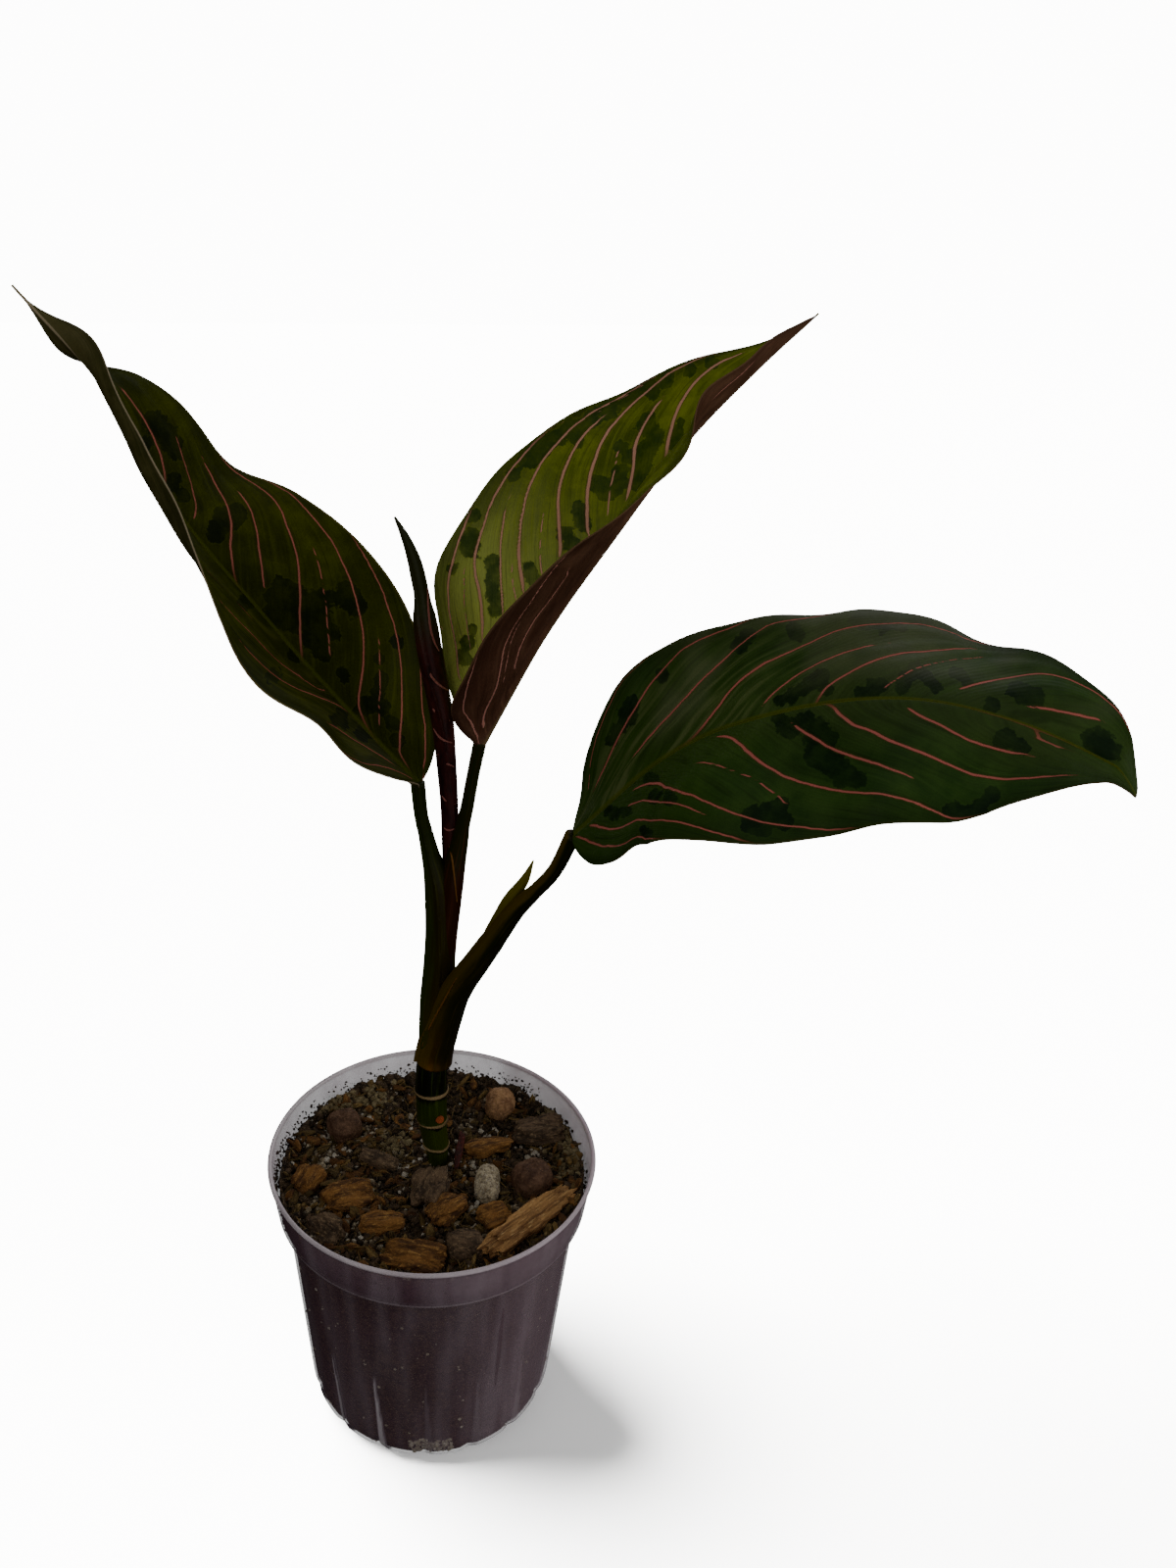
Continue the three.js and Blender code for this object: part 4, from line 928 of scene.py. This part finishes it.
def scatter(name, places, sizes, seed, material, shape=(1, 1, 1), lean=1.0, subdivisions=1, rough=0.22):
    """Many small uneven grains in one mesh: copies of a ball, each stretched, dented and turned."""
    rng = np.random.default_rng(seed)
    unit_points, faces = ball(subdivisions)
    count = len(places)
    stretch = sizes[:, None, None] * np.array(shape) * rng.uniform(0.6, 1.2, (count, 1, 3))
    dents = 1 + rng.uniform(-rough, rough, (count, len(unit_points), 1))
    local = unit_points[None] * dents * stretch
    grains = local @ rotations(rng, count, lean) + places[:, None]
    own = local + rng.uniform(-99, 99, (count, 1, 3))
    indices = faces[None] + (np.arange(count) * len(unit_points))[:, None, None]
    tone = np.repeat(rng.uniform(0, 1, count), len(unit_points))
    return put_mesh(name, grains.reshape(-1, 3), indices.reshape(-1, 3), [material],
                    values={"tone": tone, "own": own.reshape(-1, 3)})


def within_wall(x, y, reach=SOIL["reach"]):
    """The same places, drawn in to this reach from the pot's axis where they lie beyond it."""
    pull = np.minimum(1, reach / np.maximum(np.hypot(x, y), 1e-6))
    return x * pull, y * pull


def on_top(rng, count, clumps=0):
    """Random places on the mix's top, in this many clumps where clumps isn't 0."""
    turn, out = rng.uniform(0, 2 * np.pi, count), SOIL["reach"] * np.sqrt(rng.uniform(0, 1, count))
    x, y = out * np.cos(turn), out * np.sin(turn)
    if clumps:
        turn, out = rng.uniform(0, 2 * np.pi, clumps), 42 * np.sqrt(rng.uniform(0, 1, clumps))
        clump = rng.integers(0, clumps, count)
        x = (out * np.cos(turn))[clump] + rng.normal(0, 2.6, count)
        y = (out * np.sin(turn))[clump] + rng.normal(0, 2.6, count)
        x, y = within_wall(x, y)
    return np.stack([x, y, soil_height(x, y) - 0.3], -1)


def on_wall(rng, count, low, high, turns, inset):
    """Random places on the inside of the pot's wall, between two heights and two turns in degrees."""
    z, turn = rng.uniform(low, high, count), np.radians(rng.uniform(*turns, count))
    profile = np.vstack([wall_profile(0), (POT["ledge"] + 1.7, 97)])
    radius = np.interp(z, profile[:, 1], profile[:, 0]) - POT["wall"] - inset - groove_depth(turn, z)
    return np.stack([radius * np.cos(turn), radius * np.sin(turn), z], -1)


def make_chip(name, kind, at, size, turn, tilt, material, seed):
    """A worn ball or a split slab: a ball pushed out to a superellipsoid, then broken up by ripples
    that run along a slab's length as torn fibres do."""
    shape, faces = ball(6)
    power = 2.5 if kind == "ball" else 4.5
    shape = shape / (np.abs(shape) ** power).sum(-1, keepdims=True) ** (1 / power)
    half = np.array(size) / 2
    drawn = shape * half * np.array([0.3 if kind == "slab" else 1.0, 1, 1])
    breaks = 0.1 * ripples(shape * half, 8, seed) + 0.05 * ripples(drawn, 3, seed + 50)
    breaks = breaks + 0.03 * ripples(drawn, 1.2, seed + 70) + 0.012 * ripples(drawn, 0.5, seed + 90)
    taper = 1 - (0.22 * shape[:, :1] ** 2 if kind == "slab" else 0)
    local = shape * (0.95 + (0.35 if kind == "ball" else 1.0) * breaks[:, None]) * half
    local[:, 1:] = local[:, 1:] * taper
    c, s = math.cos(math.radians(tilt)), math.sin(math.radians(tilt))
    points = local @ np.array([[1, 0, 0], [0, c, s], [0, -s, c]])
    c, s = math.cos(math.radians(turn)), math.sin(math.radians(turn))
    points = points @ np.array([[c, s, 0], [-s, c, 0], [0, 0, 1]]) + np.array(at)
    return put_mesh(name + "_fine", points, faces, [material],
                    values={"tone": np.zeros(len(points)), "own": local + 31 * seed})


def make_fibres(name, starts, seed, material, length, radius):
    """Loose fibres: each is a thin tube of six sides along its own arc, which lies on the mix."""
    rng = np.random.default_rng(seed)
    count, rings, sides = len(starts), 12, 6
    turn = rng.uniform(0, 2 * np.pi, count)[:, None]
    bend = rng.uniform(-1.6, 1.6, count)[:, None]
    s = np.linspace(0, 1, rings)[None]
    reach = rng.uniform(0.4, 1.0, count)[:, None] * length
    heading = turn + bend * s
    x = starts[:, :1] + np.cumsum(np.cos(heading), 1) * reach / rings
    y = starts[:, 1:2] + np.cumsum(np.sin(heading), 1) * reach / rings
    x, y = within_wall(x, y)
    arch = rng.uniform(0, 2.2, count)[:, None] * np.sin(s * np.pi) * rng.uniform(0, 1, (count, 1))
    z = soil_height(x, y) + 0.5 + arch
    centre = np.stack([x, y, z], -1)
    side = np.stack([-np.sin(heading), np.cos(heading), np.zeros_like(x)], -1)
    angle = np.linspace(0, 2 * np.pi, sides, endpoint=False)
    taper = np.sqrt(np.sin(np.clip(s, 0.03, 0.97) * np.pi))[..., None, None]
    thick = radius * rng.uniform(0.6, 1.3, (count, 1, 1, 1)) * taper
    grid = centre[:, :, None] + thick * (np.cos(angle)[:, None] * side[:, :, None]
                                         + np.sin(angle)[:, None] * np.array([0, 0, 1.0]))
    one = ring_faces(rings, sides)[:, ::-1].tolist()
    ends = [list(range(sides)), list(range(rings * sides - 1, (rings - 1) * sides - 1, -1))]
    faces = [[i + k * rings * sides for i in face] for k in range(count) for face in one + ends]
    points = grid.reshape(-1, 3)
    tone = np.repeat(rng.uniform(0, 1, count), rings * sides)
    return put_mesh(name, points, faces, [material], values={"tone": tone, "own": points})


def dress(piece, *nodes, slot=None):
    """A fine piece stands for these nodes of the solids, which it hides, and hangs under the root body. slot
    is not used.
    """
    if nodes:
        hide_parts(*nodes)
    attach(piece, "root")
    return piece


def make_camera():
    """Camera at the photograph's viewing angle."""
    right, up, forward = camera_axes()
    camera = bpy.data.objects.new("camera", bpy.data.cameras.new("camera"))
    camera.data.lens, camera.data.sensor_width = CAMERA["lens"], 36.0
    camera.data.clip_start, camera.data.clip_end = 0.01, 100
    turn = Matrix((right, up, -forward)).transposed().to_4x4()
    camera.matrix_world = Matrix.Translation(Vector(CAMERA["at"]) * MM) @ turn
    bpy.context.scene.collection.objects.link(camera)
    bpy.context.scene.camera = camera


def make_studio():
    """White floor and room, lit by a wide soft ceiling and soft windows. The white room is seen and not
    shone by, so that the dark plant keeps its depth."""
    # Matt white paper, which throws no glints. Its own faint glow keeps it white under the pot's shade.
    material, add, _ = new_material("white_paper_floor")
    # Through the clear wall the room is seen grey, as a room lit for the plant alone would be.
    plain = add("LESS_THAN", add("LightPath", out="Transparent Depth"), 0.5)
    lit = add("AddShader", add("BsdfDiffuse", "#efeeec"), add("Emission", Strength=STUDIO["paper_glow"]))
    add("OutputMaterial", add("MixShader", plain, add("Emission", Strength=STUDIO["grey"]), lit))
    corners = [(x * STUDIO["floor_half"], y * STUDIO["floor_half"], -STUDIO["floor_drop"])
               for x, y in ((-1, -1), (1, -1), (1, 1), (-1, 1))]
    floor = put_mesh("floor", corners, [[0, 1, 2, 3]], [material])
    floor.visible_diffuse = floor.visible_glossy = False
    floor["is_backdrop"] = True
    world = bpy.data.worlds.new("white_room")
    world.use_nodes = True
    add = partial(add_node, world.node_tree)
    plain = add("LESS_THAN", add("LightPath", out="Transparent Depth"), 0.5)
    room = world.node_tree.nodes["Background"]
    room.inputs["Color"].default_value = linear("#ffffff")
    strength = add("ramp", plain, 0.0, 1.0, STUDIO["grey"], STUDIO["white"])
    world.node_tree.links.new(strength, room.inputs["Strength"])
    world.cycles_visibility.diffuse = world.cycles_visibility.glossy = False
    bpy.context.scene.world = world
    # A sun that only the floor receives, so that the plant's shade falls softly on it.
    only_floor = bpy.data.collections.new("only_floor")
    only_floor.objects.link(floor)
    sun = bpy.data.objects.new("floor_sun", bpy.data.lights.new("floor_sun", "SUN"))
    sun.data.energy, sun.data.angle = STUDIO["sun"], math.radians(STUDIO["sun_spread"])
    sun.rotation_euler = Vector(STUDIO["sun_way"]).to_track_quat("-Z", "Y").to_euler()
    sun.light_linking.receiver_collection = only_floor
    bpy.context.scene.collection.objects.link(sun)
    for name, (at, size, power) in LAMPS.items():
        light = bpy.data.lights.new(name, "AREA")
        light.size, light.energy = size, power
        lamp = bpy.data.objects.new(name, light)
        lamp.location = Vector(at) * MM
        aim = Vector(STUDIO["aim"]) * MM - lamp.location
        lamp.rotation_euler = aim.to_track_quat("-Z", "Y").to_euler()
        # The lamp behind only lifts the backs: it draws no grey gloss over the blades.
        lamp.visible_glossy = name != "fill_back"
        bpy.context.scene.collection.objects.link(lamp)


# The room: strengths of the white that is seen, of the grey that is seen through the pot and of the
# paper's glow, the floor's half side and drop in mm, the sun on the floor, and where the lamps aim.
STUDIO = {"white": 16.0, "grey": 0.9, "paper_glow": 0.35, "floor_half": 30000, "floor_drop": 0.2,
          "sun": 56.0, "sun_spread": 44, "sun_way": (0.6, -0.25, -1), "aim": (20, -10, 220)}
# Soft lamps: place in mm, side in metres, power in watts.
LAMPS = {
    "ceiling": ((0, 0, 2200), 2.6, 11), "window_front_left": ((-900, -1000, 900), 0.9, 3),
    "window_right": ((1200, -300, 500), 0.9, 3.6), "window_back": ((500, 1300, 900), 1.1, 3),
    "fill_low": ((300, -1100, 100), 1.0, 2.4), "fill_back": ((-350, 1500, 120), 1.3, 10),
}
# Blade colours: the green between veins in three depths, the part beside the midrib (inner), dark
# blotches (patch), the thin edge (rim), the base (foot), pale feathering (plume) and the veins. margin is
# how dark the outer quarter gets, vein half a vein's width in mm, and gloss the strength of its sheen.
# painted_sheen is how much painted grey sheen is laid over the left half.
GREENS = {
    "left": {"green": "#3d4204", "light": "#585f02", "deep": "#212503", "inner": "#2a2f08",
             "patch": "#151d08", "rim": "#71692f", "foot": "#343900", "plume": "#62602c",
             "pink": "#cb7364", "margin": 0.35, "vein": 0.3, "gloss": 0.08, "painted_sheen": 0.0, "feather": 0.4},
    "middle": {"green": "#66740f", "light": "#929e20", "deep": "#36420c", "inner": "#7c8828",
               "patch": "#2c4410", "rim": "#5c641a", "foot": "#d4dc68", "plume": "#62602c",
               "pink": "#eaa88c", "margin": 0.7, "vein": 0.46, "gloss": 0.14, "painted_sheen": 0.0, "feather": 0.0},
    "right": {"green": "#2c4818", "light": "#3d5a20", "deep": "#1c2a0c", "inner": "#465628",
              "patch": "#102210", "rim": "#393d0d", "foot": "#385218", "plume": "#6c7444",
              "pink": "#cb6e62", "margin": 0.5, "vein": 0.34, "gloss": 0.1, "painted_sheen": 0.8, "feather": 0.7},
}
PINK = {"vein_edge": "#5d3616", "rib": "#5b6414", "rough": 0.46}
# The undersides are duller and rougher than the upper skins, and their raised veins are paler.
MAROON = {"green": "#684632", "light": "#8a6248", "deep": "#3c2418", "inner": "#76543e", "rim": "#7a5c40",
          "foot": "#5e3c2c", "plume": "#76543e", "pink": "#e49c88", "vein_edge": "#5b2a1c",
          "rib": "#866e4a", "margin": 0.5, "vein": 0.4, "rough": 0.5, "gloss": 0.16, "painted_sheen": 0.0,
          "feather": 0.0}
TAN = {"green": "#484620", "light": "#625c34", "deep": "#2e3010", "inner": "#5a5430", "rim": "#baa888",
       "foot": "#484620", "plume": "#5a5430", "pink": "#b09070", "vein_edge": "#5a4a2a",
       "rib": "#c0ae8c", "margin": 0.3, "vein": 0.3, "rough": 0.5, "gloss": 0.12, "painted_sheen": 0.0,
       "feather": 0.0}
UNDERSIDES = {"left": TAN, "middle": MAROON, "right": MAROON}
# Pink veins on the front of the rolled leaf and free margins of two sheaths, as spots of the frame.
SPEAR_VEINS = [
    [(436, 600), (437, 620), (439, 640), (443, 655), (448, 664)],
    [(435, 676), (439, 688), (445, 696), (452, 702), (458, 705)],
    [(440, 716), (443, 725), (450, 731), (459, 735)],
    [(443, 743), (447, 751), (453, 755), (461, 758)],
    [(447, 770), (451, 777), (457, 780), (463, 782)],
    [(451, 812), (455, 817), (460, 819), (464, 820)],
    [(453, 845), (458, 847), (464, 846)],
]
SHEATH_MARGINS = {
    "petiole_right": [(431, 1068), (437, 1052), (445, 1036), (455, 1018), (466, 998)],
    "petiole_middle": [(457, 862), (461, 875), (464, 895), (466, 920)],
}

make_camera()

for name, blade in BLADES.items():
    upper = blade_material("cuticle_upper_" + name, {**PINK, **GREENS[name]}, True)
    under = blade_material("cuticle_under_" + name, UNDERSIDES[name], False)
    dress(make_blade("blade_" + name, blade, [upper, under]), "leaf_" + name)

# Stem skins are living and waxy, so each has one soft streak of light down it. The cane is green with
# dry scars. The sheaths run from tan at the foot through olive to near black, with a browner side.
cane_skin = stem_material("cane_skin", [(98, "#2f3900"), (117, "#243200"), (119, "#060900")], "#40520c",
                          rings=SCAR_HEIGHTS)
sheath_skin = stem_material("right_sheath_skin",
                           [(131, "#7a4e08"), (138, "#3b2800"), (160, "#252300"), (200, "#1b2000")],
                           "#4a3d0a", "#5d4a06", far_tone="#0e1202")
tip_skin = stem_material("sheath_tip_skin", [(190, "#5f5600"), (220, "#736900")], "#84750f")
left_skin = stem_material("left_petiole_skin",
                          [(136, "#4a2f00"), (165, "#2f2500"), (195, "#2a2300"), (215, "#232a00")],
                          "#454506", "#314000")
middle_skin = stem_material("middle_petiole_skin",
                            [(140, "#391900"), (200, "#311403"), (214, "#252503"), (240, "#232a00")],
                            "#562a14")
# The bud's scales and the torn sheath margins are drier and rusty, so they stand out of the dark.
bud_skin = stem_material("bud_skin", [(100, "#ad512a"), (120, "#ad512a")], "#d9825b")
margin_skin = stem_material("sheath_margin", [(140, "#865619"), (240, "#865b2a")], "#ad7d42")
spear_line = stem_material("spear_vein", [(200, "#ad695f"), (300, "#ad695f")], "#cf8273")

dress(make_stem("cane_fine", CANE, cane_skin, 200, 64), "cane")
# Rings and sides of the fine petioles and of the rolled leaf, and each sheath's seam for wrap.
PETIOLE_GRID, ROLL_GRID = (240, 96), (260, 96)
SHEATHS = {"petiole_right": (PETIOLE_RIGHT, sheath_skin, (-160, -20, 0.12)),
           "petiole_left": (PETIOLE_LEFT, left_skin, (-70, -100, 0.1)),
           "petiole_middle": (PETIOLE_MIDDLE, middle_skin, (-40, -60, 0.1))}
for name, (stations, skin, seam) in SHEATHS.items():
    dress(make_stem(name + "_fine", stations, skin, *PETIOLE_GRID, wrap(*seam)), name)
    if name in SHEATH_MARGINS:
        grid = stem_grid(stations, *PETIOLE_GRID, wrap(*seam))[0]
        dress(make_trail(name + "_margin", grid, SHEATH_MARGINS[name], 0.22, margin_skin), slot="petiole")
dress(make_stem("sheath_tip_fine", SHEATH_TIP, tip_skin, 60, 32), slot="petiole")
roll = wrap(-30, -150, 0.22)
dress(make_stem("rolled_leaf_fine", ROLLED_LEAF, rolled_material(), *ROLL_GRID, roll), "rolled_leaf")
grid = stem_grid(ROLLED_LEAF, *ROLL_GRID, roll)[0]
for i, spots in enumerate(SPEAR_VEINS):
    dress(make_trail("spear_vein_%d" % i, grid, spots, 0.28, spear_line, 0.03), slot="rolled_blade")
bud = [tuple(np.array(BUD_AT) + (0.3 * k, -0.6 * k, 0.9 * k)) + (r,) for k, r in BUD]
dress(make_stem("bud", bud, bud_skin, 30, 24), slot="cane")

dress(make_pot(pot_material()), "pot")

# The stuff of the mix. All of it is dry or damp and unpolished, so it is rough and throws no glints. The
# three tones are the shade in its pits, its body and its worn high spots.
mixes = {
    # Fine compost: nearly black in its pits, partly as damp and partly as painted shade, with pale crumbs.
    "soil": grain_material("damp_bark_compost", "#1c130a", "#5a4630", "#bca884", 2.2),
    # Bark and wood: a grain drawn out along each piece, red-brown to amber, and paler where it is dry.
    "bark": grain_material("pine_bark", "#4a2c12", "#94652e", "#d4a45a", 3, 0.8, (0.3, 1, 1), 0.6),
    "wood": grain_material("weathered_pine_wood", "#6f4822", "#c39256", "#f3cd8a", 2.4, 0.75,
                           (0.12, 1, 1), 0.6),
    "dark_bark": grain_material("damp_bark", "#3a2b1d", "#725b43", "#af946d", 3, 0.85, (0.5, 1, 1)),
    # Baked clay: an even, dusty tan skin with a shallow bump, so that a pebble looks smooth and round.
    "clay": grain_material("baked_clay", "#7f5839", "#b58a5e", "#dbaf89", 4, 0.8, depth=0.2),
    "clay_dark": grain_material("baked_clay_damp", "#462c1a", "#6c4e38", "#8c6c50", 4, 0.75, depth=0.2),
    # Porous stone and grit: chalky, so they are the lightest spots of the mix.
    "pumice": grain_material("pumice", "#827156", "#d0c09d", "#f3f3f3", 1.5, 0.95, depth=0.5),
    "grit": grain_material("pale_bark_grit", "#6c5c3c", "#a4946c", "#d8cca4", 1.5, 0.95, depth=0.4),
    "perlite": grain_material("perlite", "#a89c84", "#dcd4c4", "#f8f4ea", 1.2, 0.9, depth=0.3),
    # Fibres: a thin dark red root and coir husk, streaked lengthwise and a little smoother than bark.
    "fibre": grain_material("dry_root", "#2e0e08", "#581e14", "#7c3626", 2, 0.7, (0.3, 1, 1)),
    "fibre_smooth": stem_material("red_root", [(30, "#3c1018"), (80, "#4a141e")], "#5c2026"),
    "husk": grain_material("coir_husk", "#483818", "#947540", "#e6ca84", 2, 0.85, (0.2, 1, 1), 0.6),
}
dress(make_soil(mixes["soil"]), "potting_soil")
FLAKE = {"lean": 0.35, "subdivisions": 2}
# Loose grains: count, clumps, smallest and largest size in mm, seed, material, slot and their shape.
ON_TOP = {
    "crumbs": (3200, 0, (0.35, 1.2), 1, "soil", "potting_mix", {}),
    "bark_crumbs": (700, 0, (0.6, 2.0), 2, "dark_bark", "dark_bark",
                    {"shape": (1.2, 0.8, 0.6), "lean": 0.5}),
    "husk_flakes": (420, 0, (1.4, 3.4), 3, "husk", "bark", {"shape": (1.3, 0.5, 0.22), **FLAKE}),
    "bark_flakes": (260, 0, (1.4, 3.2), 4, "bark", "bark", {"shape": (1.2, 0.6, 0.3), **FLAKE}),
    "perlite_beads": (300, 0, (0.25, 0.9), 5, "perlite", "pumice", {}),
    "perlite_lumps": (260, 26, (0.4, 1.3), 6, "perlite", "pumice", {"subdivisions": 2}),
    "pumice_grains": (300, 22, (0.4, 1.3), 7, "pumice", "pumice", {"subdivisions": 2}),
}
# Grains on the wall's inside: count, lowest and highest, turns in degrees, inset, sizes and the power
# that thins out the large ones, seed, material and slot.
ON_WALL = {
    "wall_specks": (220, 3, 84, (0, 360), 0.25, (0.25, 0.85), 1.4, 9, "perlite", "pumice"),
    "foot_perlite": (110, 5, 12, (-94, -74), 0.3, (0.5, 1.2), 1, 12, "perlite", "pumice"),
    "stuck_crumbs": (420, 90, 95.5, (50, 215), 0.1, (0.15, 0.5), 1, 10, "soil", "potting_mix"),
    "stuck_crumbs_low": (500, 84, 92.5, (0, 360), 0.2, (0.2, 0.7), 1, 11, "soil", "potting_mix"),
}
# Pale grit: how many grains, how far out, and its patches behind the stem and by the wall at the
# right, as x, y and spread.
GRIT_COUNT, GRIT_REACH = 420, 47
GRIT = np.array([(-40, 33, 4), (-34, 25, 4), (-24, 34, 3), (42, 19, 4), (40, 29, 3), (45, 7, 3),
                 (-14, 13, 3)])

rng = np.random.default_rng(21)
for name, (count, clumps, sizes, seed, stuff, slot, shape) in ON_TOP.items():
    places = on_top(rng, count, clumps)
    dress(scatter(name, places, rng.uniform(*sizes, count), seed, mixes[stuff], **shape), slot=slot)
pick = rng.integers(0, len(GRIT), GRIT_COUNT)
x, y = within_wall(*(GRIT[pick, :2] + rng.normal(0, 1, (GRIT_COUNT, 2)) * GRIT[pick, 2:]).T, GRIT_REACH)
grit = np.stack([x, y, soil_height(x, y)], -1)
dress(scatter("pale_grit", grit, rng.uniform(0.5, 1.5, GRIT_COUNT), 13, mixes["grit"], (1.1, 0.9, 0.7),
              subdivisions=2), slot="pumice")
dress(make_fibres("loose_fibres", on_top(rng, 130), 8, mixes["husk"], 12, 0.22), slot="bark")
for name, (count, low, high, turns, inset, sizes, power, seed, stuff, slot) in ON_WALL.items():
    places = on_wall(rng, count, low, high, turns, inset)
    dress(scatter(name, places, rng.uniform(*sizes, count) ** power, seed, mixes[stuff]), slot=slot)
dress(make_stem("wall_root", WALL_ROOT, mixes["fibre_smooth"], 80, 16), slot="bark")
for i, (name, (kind, at, size, turn, tilt, stuff)) in enumerate(CHIPS.items()):
    dress(make_chip(name, kind, at, size, turn, tilt, mixes[stuff], i), name)

make_studio()

visual_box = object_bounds()
sizes = {"cad": [list(c) for c in cad_box], "visual": [list(c) for c in visual_box]}
